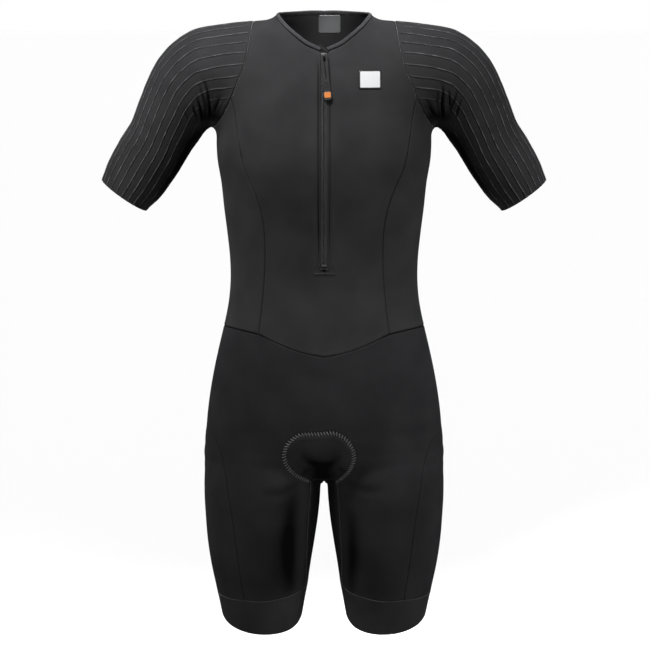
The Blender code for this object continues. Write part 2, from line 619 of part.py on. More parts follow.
def strip_mesh(sections):
    """Closed bar through equal sections of corners, with flat ends."""
    sections = np.array(sections)
    count, corners = sections.shape[:2]
    faces = []
    for row in range(count - 1):
        for corner in range(corners):
            a = row * corners + corner
            b = row * corners + (corner + 1) % corners
            faces.append((a, b, b + corners, a + corners))
    last = (count - 1) * corners
    faces.append(tuple(range(corners))[::-1])
    faces.append(tuple(range(last, last + corners)))
    return sections.reshape(-1, 3), faces


# ---------------------------------------------------------------- seams and grids, left half

def cut_seams():
    """Every seam line of the left half, by name, from its knots and its number of cells."""
    table = {
        "neck_front": (NECK_FRONT, NECK_CELLS),
        "neck_back": (NECK_BACK, NECK_CELLS),
        "shoulder": (SHOULDER, SHOULDER_CELLS),
        "armhole_front": (ARMHOLE_FRONT, ARMHOLE_CELLS),
        "armhole_under": (ARMHOLE_UNDER, UNDERARM_CELLS),
        "armhole_back": (ARMHOLE_BACK, ARMHOLE_CELLS),
        "side_front": (SIDE_SEAM_FRONT, SIDE_CELLS),
        "side_back": (SIDE_SEAM_BACK, SIDE_CELLS),
        "slit": (FRONT_MIDDLE, SLIT_CELLS),
        "below_slit": (FRONT_LOW_MIDDLE, PANEL_ROWS - SLIT_CELLS - 1),
        "back_middle": (BACK_MIDDLE, PANEL_ROWS),
        "waist_front": (WAIST_FRONT, WAIST_CELLS),
        "waist_side_front": (WAIST_SIDE_FRONT, WAIST_SIDE_CELLS),
        "waist_side_back": (WAIST_SIDE_BACK, WAIST_SIDE_CELLS),
        "waist_back": (WAIST_BACK, WAIST_CELLS),
        "hip_side": (HIP_SIDE, HIP_CELLS),
        "shorts_front_middle": (SHORTS_FRONT_MIDDLE, HIP_ROWS),
        "shorts_back_middle": (SHORTS_BACK_MIDDLE, HIP_ROWS),
        "outer_top_front": (OUTER_TOP_FRONT, OUTER_TOP_CELLS),
        "outer_top_back": (OUTER_TOP_BACK, OUTER_TOP_CELLS),
        "outer_front_high": (OUTER_FRONT_HIGH, OUTER_HIGH_CELLS),
        "outer_front": (OUTER_FRONT, LEG_CELLS),
        "outer_back_high": (OUTER_BACK_HIGH, OUTER_HIGH_CELLS),
        "outer_back": (OUTER_BACK, LEG_CELLS),
        "thigh_front": (THIGH_FRONT, THIGH_CELLS),
        "thigh_back": (THIGH_BACK, THIGH_CELLS),
        "crotch_front": (CROTCH_FRONT, CROTCH_CELLS),
        "crotch_back": (CROTCH_BACK, CROTCH_CELLS),
        "crotch_middle": (CROTCH_MIDDLE, INNER_CELLS),
        "inner_front": (INNER_FRONT, LEG_CELLS),
        "inner_back": (INNER_BACK, LEG_CELLS),
        "band_front": (BAND_TOP_FRONT, THIGH_CELLS),
        "band_inner": (BAND_TOP_INNER, INNER_CELLS),
        "band_back": (BAND_TOP_BACK, THIGH_CELLS),
        "band_outer": (BAND_TOP_OUTER, OUTER_CELLS),
    }
    return {name: seam(knots, cells) for name, (knots, cells) in table.items()}


def front_grid(lines):
    """Left half of the front, from its middle outwards, with the zip's slit let in."""
    grid = patch(joined(lines["neck_front"], lines["shoulder"]), lines["waist_front"],
                 np.concatenate([lines["slit"], lines["below_slit"]]),
                 joined(lines["armhole_front"], lines["side_front"]))
    edge = grid[:SLIT_CELLS + 1, 0].copy()
    edge[:, 0] = ZIP_SLIT
    edge = onto_figure(edge)
    edge[:, 0] = ZIP_SLIT
    grid[:SLIT_CELLS + 1, 0] = edge
    return grid


def back_grid(lines):
    return patch(joined(lines["neck_back"][::-1], lines["shoulder"]), lines["waist_back"][::-1],
                 lines["back_middle"], joined(lines["armhole_back"], lines["side_back"]))


def side_grid(lines):
    """Side panel, from its front seam round to its back seam."""
    return patch(lines["armhole_under"], joined(lines["waist_side_front"], lines["waist_side_back"]),
                 lines["side_front"], lines["side_back"])


def shorts_front_grids(lines):
    """Hip and thigh of the shorts' front, from the middle outwards."""
    bottom = joined(lines["crotch_front"][::-1], lines["thigh_front"][::-1])
    hip = patch(joined(lines["waist_front"], lines["waist_side_front"]), bottom,
                lines["shorts_front_middle"],
                joined(lines["hip_side"], lines["outer_top_front"], lines["outer_front_high"]))
    thigh = patch(lines["thigh_front"][::-1], lines["band_front"][::-1], lines["inner_front"],
                  lines["outer_front"])
    return hip, thigh


def shorts_back_grids(lines):
    bottom = joined(lines["crotch_back"][::-1], lines["thigh_back"][::-1])
    hip = patch(joined(lines["waist_back"][::-1], lines["waist_side_back"][::-1]), bottom,
                lines["shorts_back_middle"],
                joined(lines["hip_side"], lines["outer_top_back"], lines["outer_back_high"]))
    thigh = patch(lines["thigh_back"][::-1], lines["band_back"], lines["inner_back"], lines["outer_back"])
    return hip, thigh


def outer_leg_grid(lines):
    """Outer thigh, from its front seam round to its back seam."""
    return patch(joined(lines["outer_top_front"][::-1], lines["outer_top_back"]),
                 lines["band_outer"][::-1],
                 joined(lines["outer_front_high"], lines["outer_front"]),
                 joined(lines["outer_back_high"], lines["outer_back"]))


def inner_leg_grid(lines):
    """Inner thigh, from its front seam round to its back seam."""
    return patch(lines["crotch_middle"], lines["band_inner"],
                 joined(lines["crotch_front"][::-1], lines["inner_front"]),
                 joined(lines["crotch_back"][::-1], lines["inner_back"]))


def leg_point(turn, height):
    """Points on a leg at a turn, in degrees from its outer side towards the front, and a height."""
    centre, half, middle, depth = (smooth_curve(column(LEG, "height"), column(LEG, name), height)
                                   for name in ("centre_x", "half_width", "centre_y", "half_depth"))
    across, deep = np.cos(np.radians(turn)), np.sin(np.radians(turn))
    reach = (np.abs(across / half) ** LEG_SQUARENESS + np.abs(deep / depth) ** LEG_SQUARENESS)
    radius = reach ** (-1 / LEG_SQUARENESS)
    return np.stack([centre + radius * across, middle - radius * deep, height], -1)


def band_grid(lines):
    """Band round the leg's end: a closed ring of rows from its seam down to the hem."""
    top = joined(lines["band_front"], lines["band_inner"], lines["band_back"], lines["band_outer"])
    centre, middle = LEG[-2].centre_x, LEG[-2].centre_y
    turn = np.degrees(np.arctan2(middle - top[:, 1], top[:, 0] - centre)) % 360
    hem = smooth_curve(column(HEM, "turn"), column(HEM, "height"), turn)
    rows = [top]
    for row in range(1, BAND_CELLS + 1):
        share = row / BAND_CELLS
        rows.append(leg_point(turn, top[:, 2] * (1 - share) + hem * share))
    return np.array(rows)


def sleeve_grid(lines):
    """Sleeve: a closed ring of columns from the top round by the front; rows go to the cuff."""
    hole = joined(lines["armhole_front"], lines["armhole_under"], lines["armhole_back"][::-1])[:-1]
    cell, share = arm_place(hole)
    middle, axis, height, centre_y, depth = arm_section(cell, share)
    along = ((hole[:, 0] - middle[:, 0]) * axis[:, 0] + (hole[:, 2] - middle[:, 1]) * axis[:, 1])
    turn = np.degrees(np.unwrap(np.arctan2((centre_y - hole[:, 1]) / depth, along / height)))
    cuff_turn = np.arange(len(hole)) * 360.0 / len(hole)
    rows = [hole]
    for row_share in SLEEVE_ROWS[1:]:
        station = (cell + share) * (1 - row_share) + CUFF_STATION * row_share
        station_cell = np.minimum(station.astype(int), len(ARM_STATIONS[0]) - 2)
        middle, axis, height, centre_y, depth = arm_section(station_cell, station - station_cell)
        angle = np.radians(turn * (1 - row_share) + cuff_turn * row_share)
        reach = (height * np.cos(angle))[:, None] * axis
        rows.append(np.stack([middle[:, 0] + reach[:, 0], centre_y - depth * np.sin(angle),
                              middle[:, 1] + reach[:, 1]], 1))
    grid = np.array(rows)
    grid[1:] = onto_figure(grid[1:])
    return grid, turn, cuff_turn


# ---------------------------------------------------------------- sleeves

def fold_depths(grid_shape, turn, cuff_turn):
    """How far each point of the sleeve sinks into the folds under the arm."""
    depths = np.zeros(grid_shape)
    for fold in FOLDS:
        share = SLEEVE_ROWS[fold.row]
        here = turn * (1 - share) + cuff_turn * share
        away = np.clip(np.abs(here - fold.middle) / fold.reach, 0, 1)
        depths[fold.row] = np.maximum(depths[fold.row], fold.depth * np.cos(away * math.pi / 2) ** 2)
    return depths


def sleeve_mesh(lines):
    """Closed wall of a sleeve: raised lines on its outer face over a plain inside."""
    grid, turn, cuff_turn = sleeve_grid(lines)
    rows, columns = grid.shape[:2]
    panel = Panel().add_grid(np.concatenate([grid, grid[:, :1]], 1), turned=True)
    points = np.array(panel.points)
    normals = outward(points)
    following, before = panel.edge_links()
    points = kept_back(points, normals, following, before, SEAM_GAP / 2).reshape(rows, columns, 3)
    normals = normals.reshape(rows, columns, 3)
    points = points - fold_depths((rows, columns), turn, cuff_turn)[..., None] * normals
    inner = points - CLOTH * normals

    under = slice(ARMHOLE_CELLS, ARMHOLE_CELLS + UNDERARM_CELLS + 1)
    rise = np.full((rows, columns), RIB_HEIGHT)
    folded_rows = max(fold.row for fold in FOLDS) + 1
    rise[:folded_rows, under] = 0.0

    def towards(other):
        step = other - points
        return points + RIB_HALF_WIDTH * step / np.linalg.norm(step, axis=2, keepdims=True)

    before_rib = towards(np.roll(points, 1, axis=1))
    after_rib = towards(np.roll(points, -1, axis=1))
    outer = np.stack([before_rib, points + rise[..., None] * normals, after_rib], 2)
    outer = outer.reshape(rows, 3 * columns, 3)

    corners = np.concatenate([outer.reshape(-1, 3), inner.reshape(-1, 3)])
    wide = 3 * columns
    start = rows * wide
    faces = []
    for row in range(rows - 1):
        for col in range(wide):
            a, b = row * wide + col, row * wide + (col + 1) % wide
            faces += [(a, b, b + wide), (a, b + wide, a + wide)]
        for col in range(columns):
            a, b = start + row * columns + col, start + row * columns + (col + 1) % columns
            faces += [(b + columns, b, a), (a + columns, b + columns, a)]
    for row, outwards in ((0, True), (rows - 1, False)):
        for col in range(columns):
            following_col = (col + 1) % columns
            inside = start + row * columns + col
            inside_next = start + row * columns + following_col
            peak, after, ahead, next_peak = (row * wide + (3 * col + 1 + step) % wide for step in range(4))
            rim = [(after, peak, inside), (next_peak, ahead, inside_next)]
            if rank(grid[row, col]) > rank(grid[row, following_col]):
                rim += [(after, inside, inside_next), (ahead, after, inside_next)]
            else:
                rim += [(ahead, after, inside), (ahead, inside, inside_next)]
            faces += rim if outwards else [face[::-1] for face in rim]
    return corners, faces


# ---------------------------------------------------------------- neck and zip

def binding_mesh(front, back):
    """Folded tape round the neck, from one side of the slit round the back to the other."""
    half = joined(front[0, :NECK_CELLS + 1], back[0, :NECK_CELLS + 1][::-1])
    line = joined(half, (half * MIRROR)[::-1])
    normals = outward(line)
    along = np.gradient(line, axis=0)
    along /= np.linalg.norm(along, axis=1, keepdims=True)
    rise = np.cross(along, normals)
    rise /= np.linalg.norm(rise, axis=1, keepdims=True)
    rise *= np.sign(rise[:, 2:])
    low, high = SEAM_GAP / 2, BINDING_WIDTH
    section = [(low, -0.0019), (low, 0.0004), (0.0012, 0.0009), (high - 0.0010, 0.0009),
               (high, 0.0003), (high, -0.0016), (high - 0.0010, -0.0022), (0.0012, -0.0022)]
    return strip_mesh([[point + up * step_up + normal * step_out for step_up, step_out in section[::-1]]
                       for point, up, normal in zip(line, rise, normals)])


class ZipBed:
    """Rows of the front panel beside the slit, as the surface that the zip follows."""

    def __init__(self, front):
        self.points = front
        self.normals = outward(front)

    def whole_row(self, row, across):
        """Point and normal on a row of the panel, on the straight edges between its columns."""
        x = self.points[row, :, 0]
        place = np.array([across] + [np.interp(abs(across), x, self.points[row, :, axis])
                                     for axis in (1, 2)])
        normal = np.array([np.interp(abs(across), x, self.normals[row, :, axis]) for axis in range(3)])
        normal[0] *= np.sign(across)
        return place, normal / np.linalg.norm(normal)

    def at(self, row, across, out):
        """Point beside the zip at a row, which may lie between two, moved out from the cloth."""
        low = min(int(row), len(self.points) - 2)
        share = row - low
        place_a, normal_a = self.whole_row(low, across)
        place_b, normal_b = self.whole_row(low + 1, across)
        normal = normal_a * (1 - share) + normal_b * share
        return place_a * (1 - share) + place_b * share + normal * out

    def row_at_height(self, height):
        """Row, with its share, at which the slit's edge has the given height."""
        edge = self.points[:SLIT_CELLS + 1, 0, 2]
        return float(np.interp(-height, -edge, np.arange(len(edge))))


def tape_mesh(bed):
    """Woven tape behind the slit, a flat-sided wall through four columns."""
    rows = [0.03] + list(range(1, SLIT_CELLS + 2)) + [SLIT_CELLS + 1.6]
    face, back = -(CLOTH + TAPE_GAP), -(CLOTH + TAPE_GAP + TAPE_THICK)
    columns = (-TAPE_HALF_WIDTH, -ZIP_SLIT, ZIP_SLIT, TAPE_HALF_WIDTH)
    return strip_mesh([[bed.at(row, x, back) for x in columns]
                       + [bed.at(row, x, face) for x in reversed(columns)] for row in rows])


def zip_bar(bed, rows, half_width, low, high, slope):
    """Bar along the slit with a sloped top edge on both sides."""
    top = half_width - slope
    return strip_mesh([[bed.at(row, -half_width, low), bed.at(row, -half_width, high - slope),
                        bed.at(row, -top, high), bed.at(row, top, high),
                        bed.at(row, half_width, high - slope), bed.at(row, half_width, low)][::-1]
                       for row in rows])


def coil_mesh(bed):
    """The two closed rows of teeth as one plain bar; the slider covers its upper end."""
    last = bed.row_at_height(ZIP_END + 0.0070)
    rows = [0.06] + list(range(1, int(last) + 1)) + [last]
    low = SEAM_GAP - CLOTH - TAPE_GAP
    return zip_bar(bed, rows, COIL_HALF_WIDTH, low, COIL_RISE, 0.0008)


def stop_mesh(bed):
    """Box at the zip's lower end."""
    rows = [bed.row_at_height(ZIP_END + 0.0064), bed.row_at_height(ZIP_END + 0.0034)]
    low = SEAM_GAP - CLOTH - TAPE_GAP
    return zip_bar(bed, rows, COIL_HALF_WIDTH + 0.0002, low, COIL_RISE + 0.0009, 0.0005)


def frame_matrix(origin, right, up):
    """Matrix of a frame with the given right and up directions; its third axis points out."""
    up = up / np.linalg.norm(up)
    right = right - up * np.dot(right, up)
    right = right / np.linalg.norm(right)
    out = np.cross(right, up)
    matrix = Matrix.Identity(4)
    for axis, vector in enumerate((right, up, out)):
        for row in range(3):
            matrix[row][axis] = float(vector[row])
    matrix.translation = Vector([float(value) for value in origin])
    return matrix


def slider_frame(bed):
    """Frame of the slider: right along +X, up the zip, and out from the cloth."""
    row = bed.row_at_height(SLIDER_HEIGHT)
    seat = bed.at(row, 0.0, COIL_RISE + SEAM_GAP)
    up = bed.at(row - 0.3, 0.0, 0.0) - bed.at(row + 0.3, 0.0, 0.0)
    return frame_matrix(seat, np.array([1.0, 0.0, 0.0]), up)


def outline_object(name, outlines, half_thick):
    """Mesh of a flat shape: closed outlines on the XY plane, the inner ones as holes."""
    curve = bpy.data.curves.new(name, "CURVE")
    curve.dimensions = "2D"
    curve.fill_mode = "BOTH"
    curve.extrude = half_thick
    for outline in outlines:
        spline = curve.splines.new("POLY")
        spline.points.add(len(outline) - 1)
        for point, (x, y) in zip(spline.points, outline):
            point.co = (x, y, 0.0, 1.0)
        spline.use_cyclic_u = True
    holder = bpy.data.objects.new(name, curve)
    bpy.context.scene.collection.objects.link(holder)
    bpy.context.view_layer.update()
    graph = bpy.context.evaluated_depsgraph_get()
    mesh = bpy.data.meshes.new_from_object(holder.evaluated_get(graph))
    bpy.data.objects.remove(holder, do_unlink=True)
    solid = bmesh.new()
    solid.from_mesh(mesh)
    bmesh.ops.remove_doubles(solid, verts=solid.verts, dist=1e-6)
    bmesh.ops.recalc_face_normals(solid, faces=solid.faces)
    solid.to_mesh(mesh)
    solid.free()
    return mesh


def arc(centre, radius, start, end, steps):
    """Points of an arc, with its angles in degrees."""
    angles = np.radians(np.linspace(start, end, steps + 1))
    return [(centre[0] + radius * math.cos(a), centre[1] + radius * math.sin(a)) for a in angles]


def rounded_box(width, height, radius, steps=3):
    """Outline of a box with round corners, about the origin."""
    x, y = width / 2 - radius, height / 2 - radius
    outline = []
    for centre, start in (((x, y), 0), ((-x, y), 90), ((-x, -y), 180), ((x, -y), 270)):
        outline += arc(centre, radius, start, start + 90, steps)
    return outline


def boolean(thing, cutter_mesh, cutter_matrix, operation, cutters):
    """Exact Boolean of an object with a mesh, which stays as a hidden cutter."""
    cutter = bpy.data.objects.new(thing.name + "_" + operation.lower(), cutter_mesh)
    cutter.matrix_world = cutter_matrix
    cutter.hide_render = True
    cutter.display_type = "WIRE"
    cutters.objects.link(cutter)
    modifier = thing.modifiers.new(operation.title(), "BOOLEAN")
    modifier.operation = operation
    modifier.object = cutter


def build_slider(collection, cutters, bed):
    """Slider body with the bridge that holds the pull."""
    frame = slider_frame(bed)
    wide, narrow, half = SLIDER_WIDTH / 2, SLIDER_WAIST / 2, SLIDER_LENGTH / 2
    corner = 0.0016
    outline = [(wide - corner, half), (wide, half - corner), (wide, half - 2 * corner),
               (narrow, corner - half), (narrow - corner, -half)]
    outline += [(-x, y) for x, y in reversed(outline)]
    body = outline_object("zip_slider", [outline], SLIDER_THICK / 2)
    body.transform(Matrix.Translation((0, 0, SLIDER_THICK / 2)))
    slider = put_mesh(collection, "zip_slider", body, ZIP_PLASTIC)
    slider.matrix_world = frame

    foot = 0.0004
    top = SLIDER_THICK + BRIDGE_ROOM + BRIDGE_THICK
    length, thick = BRIDGE_LENGTH / 2, BRIDGE_THICK
    crown, under = 0.0014, 0.0007
    outer = [(-length, SLIDER_THICK - foot)] + arc((crown - length, top - crown), crown, 180, 90, 3)
    outer += arc((length - crown, top - crown), crown, 90, 0, 3) + [(length, SLIDER_THICK - foot)]
    inside = length - thick
    inner = [(inside, SLIDER_THICK - foot)]
    inner += arc((inside - under, top - thick - under), under, 0, 90, 2)
    inner += arc((under - inside, top - thick - under), under, 90, 180, 2)
    inner += [(-inside, SLIDER_THICK - foot)]
    bridge = outline_object("zip_bridge", [outer + inner], BRIDGE_WIDTH / 2)
    stand = Matrix(((0, 0, 1, 0), (1, 0, 0, 0), (0, 1, 0, 0), (0, 0, 0, 1)))
    boolean(slider, bridge, frame @ stand, "UNION", cutters)
    return frame


def pull_frame(slider):
    """Frame of the hanging pull: hinged under the bridge, its tip as near the cloth as it may be."""
    out = np.array(slider.col[2][:3])
    hinge = np.array(slider.translation) + out * (SLIDER_THICK + BRIDGE_ROOM / 2)
    along = np.linspace(0.012, PULL_LENGTH, 24)
    edges = np.array([-PULL_TIP_WIDTH / 2, 0.0, PULL_TIP_WIDTH / 2])
    aside = PULL_SIDE_STEP / PULL_LENGTH
    for angle in np.radians(np.linspace(5, 70, 261)):
        reach = math.sqrt(1 - aside * aside)
        down = np.array([aside, -math.sin(angle) * reach, -math.cos(angle) * reach])
        frame = frame_matrix(hinge, np.array([1.0, 0.0, 0.0]), -down)
        right, face = np.array(frame.col[0][:3]), np.array(frame.col[2][:3])
        back = (hinge + along[:, None, None] * down + edges[None, :, None] * right
                - face * PULL_THICK / 2).reshape(-1, 3)
        if figure_distance(back).min() >= PULL_CLEARANCE:
            return frame
    return frame


def build_pull(collection, cutters, slider):
    """Pull with its slotted upper half, and the square inlay in its tip."""
    frame = pull_frame(slider)
    half, tip = PULL_WIDTH / 2, PULL_TIP_WIDTH / 2
    bar = PULL_BAR / 2
    shoulder = 0.0016
    side = arc((half - shoulder, bar - shoulder), shoulder, 90, 0, 3)
    side += [(half, -PULL_TAB_END), (tip, -PULL_TAB_END - 0.0016), (tip, -PULL_LENGTH + 0.0040)]
    side += arc((tip - 0.0040, -PULL_LENGTH + 0.0040), 0.0040, 0, -90, 4)[1:]
    outline = side + [(-x, y) for x, y in reversed(side)]
    top, low = PULL_SLOT_TOP / 2, PULL_SLOT_LOW / 2
    slot = [(top, -bar), (top, -bar - 0.0060), (low, -bar - 0.0090), (low, -PULL_SLOT_END)]
    slot += [(-x, y) for x, y in reversed(slot)]
    pull = put_mesh(collection, "zip_pull", outline_object("zip_pull", [outline, slot], PULL_THICK / 2),
                    PULL_RUBBER)
    pull.matrix_world = frame

    pocket = outline_object("pocket", [rounded_box(INLAY_WIDTH + 2 * INLAY_GAP,
                                                   INLAY_HEIGHT + 2 * INLAY_GAP, 0.0015)], INLAY_DEPTH)
    seat = Matrix.Translation((0, -INLAY_MIDDLE, PULL_THICK / 2))
    boolean(pull, pocket, frame @ seat, "DIFFERENCE", cutters)
    inlay = outline_object("inlay", [rounded_box(INLAY_WIDTH, INLAY_HEIGHT, 0.0012)], INLAY_DEPTH / 2)
    lift = PULL_THICK / 2 - INLAY_DEPTH / 2 + INLAY_GAP
    inlay.transform(Matrix.Translation((0, -INLAY_MIDDLE, lift)))
    square = put_mesh(collection, "zip_pull_inlay", inlay, PULL_ORANGE)
    square.matrix_world = frame
    return frame


# ---------------------------------------------------------------- patch, label and seat pad

def card_mesh(carrier, centre, size, thick, start_y, outside):
    """Thin card laid on a panel's wall: its points are the wall's, moved off it.

    The wall is met along +Y from start_y. A card outside lies off the outer face, others off the
    inner one.
    """
    corners, faces = carrier
    tree = BVHTree.FromPolygons([tuple(corner) for corner in corners], faces)
    columns, rows = 6, 5
    u, v = np.meshgrid(np.linspace(-1, 1, columns), np.linspace(1, -1, rows))
    ring = (np.abs(u) == 1) & (np.abs(v) == 1)
    trim = CARD_CORNER * (1 - math.sqrt(0.5))
    x = centre[0] + u * (size[0] / 2 - trim * ring)
    z = centre[1] + v * (size[1] / 2 - trim * ring)
    seat = np.array([tree.ray_cast(Vector((a, start_y, b)), Vector((0, 1, 0)))[0]
                     for a, b in zip(x.ravel(), z.ravel())])
    normals = outward(seat) * (1.0 if outside else -1.0)
    near = seat + normals * CARD_GAP
    far = seat + normals * (CARD_GAP + thick)
    return shell_between(near.reshape(rows, columns, 3), far.reshape(rows, columns, 3))


def shell_between(near, far):
    """Closed wall between two grids of the same shape."""
    rows, columns = near.shape[:2]
    count = rows * columns
    ids = np.arange(count).reshape(rows, columns)
    faces = []
    for row in range(rows - 1):
        for col in range(columns - 1):
            a, b = ids[row, col], ids[row + 1, col]
            c, d = ids[row + 1, col + 1], ids[row, col + 1]
            faces += [(a + count, b + count, c + count), (a + count, c + count, d + count)]
            faces += [(c, b, a), (d, c, a)]
    edge = (list(ids[:, 0]) + list(ids[-1, 1:]) + list(ids[-2::-1, -1]) + list(ids[0, -2:0:-1]))
    for a, b in zip(edge, edge[1:] + edge[:1]):
        faces += [(b + count, a + count, a), (b + count, a, b)]
    return np.concatenate([near.reshape(-1, 3), far.reshape(-1, 3)]), faces


def pad_mesh():
    """Seat pad: a saddle of foam inside the shorts, from the front under to the back."""
    rows = 2 * (len(PAD) - 1) + 1
    place = np.linspace(0, len(PAD) - 1, rows)
    y, z, half = (smooth_curve(np.arange(len(PAD)), column(PAD, name), place)
                  for name in PadSection._fields)
    u = np.linspace(-1, 1, PAD_COLUMNS + 1)
    grid = np.stack([u[None, :] * half[:, None], y[:, None] + 0 * u[None, :],
                     z[:, None] + 0 * u[None, :]], 2)
    level = -(CLOTH + PAD_GAP)
    flat = grid.reshape(-1, 3)
    beyond = figure_distance(flat) > level
    flat[beyond] = onto_figure(flat[beyond], level)
    down = np.gradient(grid, axis=0)
    across = np.gradient(grid, axis=1)
    normals = np.cross(down, across)
    normals /= np.linalg.norm(normals, axis=2, keepdims=True)
    swell = np.sqrt(np.clip(1 - u ** 2, 0, 1))[None, :] * np.sqrt(
        np.clip(1 - (2 * place / (len(PAD) - 1) - 1) ** 6, 0, 1))[:, None]
    thick = PAD_EDGE_THICK + (PAD_THICK - PAD_EDGE_THICK) * swell
    return shell_between(grid - normals * thick[..., None], grid)


# ---------------------------------------------------------------- whole suit

def mirrored(mesh):
    """A closed mesh on the other side of the body."""
    corners, faces = mesh
    return np.array(corners) * MIRROR, [tuple(face)[::-1] for face in faces]


def build_pair(collection, name, mesh, finish):
    put_faces(collection, name + "_left", *mesh, finish)
    put_faces(collection, name + "_right", *mirrored(mesh), finish)


def build():
    clear_scene()
    suit = bpy.data.collections.new("triathlon_suit")
    cutters = bpy.data.collections.new("cutters")
    bpy.context.scene.collection.children.link(suit)
    bpy.context.scene.collection.children.link(cutters)
    lines = cut_seams()

    front, back = front_grid(lines), back_grid(lines)
    front_wall = wall(Panel().add_both_sides(front), CLOTH)
    back_wall = wall(Panel().add_both_sides(back, turned=True), CLOTH)
    put_faces(suit, "front_panel", *front_wall, KNIT)
    put_faces(suit, "back_panel", *back_wall, KNIT)
    build_pair(suit, "side_panel", wall(Panel().add_grid(side_grid(lines)), CLOTH), KNIT)
    build_pair(suit, "sleeve", sleeve_mesh(lines), RIBBED_KNIT)
    put_faces(suit, "neck_binding", *binding_mesh(front, back), TRIM)

    shorts_front, shorts_back = Panel(), Panel()
    for grid in shorts_front_grids(lines):
        shorts_front.add_both_sides(grid)
    for grid in shorts_back_grids(lines):
        shorts_back.add_both_sides(grid, turned=True)
    put_faces(suit, "shorts_front", *wall(shorts_front, CLOTH), SHORTS_KNIT)
    put_faces(suit, "shorts_back", *wall(shorts_back, CLOTH), SHORTS_KNIT)
    build_pair(suit, "outer_leg", wall(Panel().add_grid(outer_leg_grid(lines)), CLOTH), SHORTS_KNIT)
    inner_leg = wall(Panel().add_grid(inner_leg_grid(lines), turned=True), CLOTH)
    build_pair(suit, "inner_leg", inner_leg, SHORTS_KNIT)
    band = wall(Panel().add_grid(band_grid(lines), turned=True), GRIPPER_CLOTH)
    build_pair(suit, "leg_band", band, BAND_KNIT)

    bed = ZipBed(front)
    put_faces(suit, "zip_tape", *tape_mesh(bed), TRIM)
    put_faces(suit, "zip_coil", *coil_mesh(bed), ZIP_PLASTIC)
    put_faces(suit, "zip_stop", *stop_mesh(bed), ZIP_PLASTIC)
    slider = build_slider(suit, cutters, bed)
    build_pull(suit, cutters, slider)

    patch_card = card_mesh(front_wall, PATCH_CENTRE, PATCH_SIZE, PATCH_THICK, -0.3, outside=True)
    put_faces(suit, "chest_patch", *patch_card, REFLECTIVE)
    label = card_mesh(back_wall, LABEL_CENTRE, LABEL_SIZE, LABEL_THICK, 0.0, outside=False)
    put_faces(suit, "neck_label", *label, LABEL_GREY)
    put_faces(suit, "seat_pad", *pad_mesh(), FOAM)


build()
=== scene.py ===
"""Triathlon suit, dressed: cloth, seams, threads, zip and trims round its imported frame.

Every cloth piece is a net of points on one smooth figure, between the seam lines that its maker
would cut along. Its outer face rises and sinks by a relief: ribs, pressed seams and soft creases.
Metres; +Z up; the front faces -Y; +X is the wearer's left.
"""
import json
import logging
import math
from collections.abc import Callable, Iterable, Iterator, Sequence
from contextlib import contextmanager
from dataclasses import dataclass, field, replace
from enum import Enum

import bmesh
import bpy
import numpy as np
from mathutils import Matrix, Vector


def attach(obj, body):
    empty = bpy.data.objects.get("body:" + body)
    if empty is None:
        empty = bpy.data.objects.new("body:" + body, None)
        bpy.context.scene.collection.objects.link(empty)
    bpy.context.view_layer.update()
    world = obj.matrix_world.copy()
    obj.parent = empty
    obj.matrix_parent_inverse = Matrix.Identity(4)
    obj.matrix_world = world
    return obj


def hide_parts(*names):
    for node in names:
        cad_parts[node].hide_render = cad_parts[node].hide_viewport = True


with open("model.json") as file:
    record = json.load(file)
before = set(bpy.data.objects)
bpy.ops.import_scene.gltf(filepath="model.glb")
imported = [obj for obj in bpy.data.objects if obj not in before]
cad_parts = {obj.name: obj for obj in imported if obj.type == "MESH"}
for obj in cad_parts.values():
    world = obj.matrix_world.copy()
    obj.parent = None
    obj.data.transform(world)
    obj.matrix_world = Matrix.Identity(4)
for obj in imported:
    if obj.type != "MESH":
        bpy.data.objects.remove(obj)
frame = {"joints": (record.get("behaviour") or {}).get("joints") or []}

LOG = logging.getLogger("triathlon_suit")
MIRROR = np.array([-1.0, 1.0, 1.0])
ACROSS = np.array([1.0, 0.0, 0.0])
SHARP_ANGLE = math.radians(50)


class Side(Enum):
    """A side of the wearer, with the sign of its x."""

    LEFT = 1
    RIGHT = -1


class Face(Enum):
    """Front or back of the suit, with the sign of its y."""

    FRONT = -1
    BACK = 1


# ---------------------------------------------------------------- curves

def smooth_curve(places: np.ndarray, values: np.ndarray, at: np.ndarray) -> np.ndarray:
    """Cubic curve through values, with centred slopes, held level past both ends.

    Args:
        places: where the values stand, all rising or all falling.
        values: one for each place.
        at: where the curve is wanted.

    Returns:
        The curve's value at each of the wanted places.
    """
    places, values = np.asarray(places, float), np.asarray(values, float)
    if places[0] > places[-1]:
        places, values = places[::-1], values[::-1]
    slopes = np.gradient(values, places)
    at = np.clip(at, places[0], places[-1])
    cell = np.clip(np.searchsorted(places, at) - 1, 0, len(places) - 2)
    width = places[cell + 1] - places[cell]
    t = (at - places[cell]) / width
    return ((1 + 2 * t) * (1 - t) ** 2 * values[cell] + t * (1 - t) ** 2 * width * slopes[cell]
            + t * t * (3 - 2 * t) * values[cell + 1] + t * t * (t - 1) * width * slopes[cell + 1])


def run_of(line: np.ndarray) -> np.ndarray:
    """Length along a line of points up to each of them."""
    return np.concatenate([[0.0], np.cumsum(np.linalg.norm(np.diff(line, axis=0), axis=1))])


def even_line(line: np.ndarray, cells: int) -> np.ndarray:
    """The same line, cut into cells of equal length."""
    run = run_of(line)
    even = np.linspace(0, run[-1], cells + 1)
    return np.stack([np.interp(even, run, line[:, axis]) for axis in range(3)], 1)


def curved(knots: np.ndarray, points_per_knot: int = 24) -> np.ndarray:
    """Smooth line through knots: each coordinate is a cubic curve of the length along the knots."""
    run = run_of(knots)
    fine = np.linspace(0, run[-1], points_per_knot * len(knots))
    return np.stack([smooth_curve(run, knots[:, axis], fine) for axis in range(3)], 1)


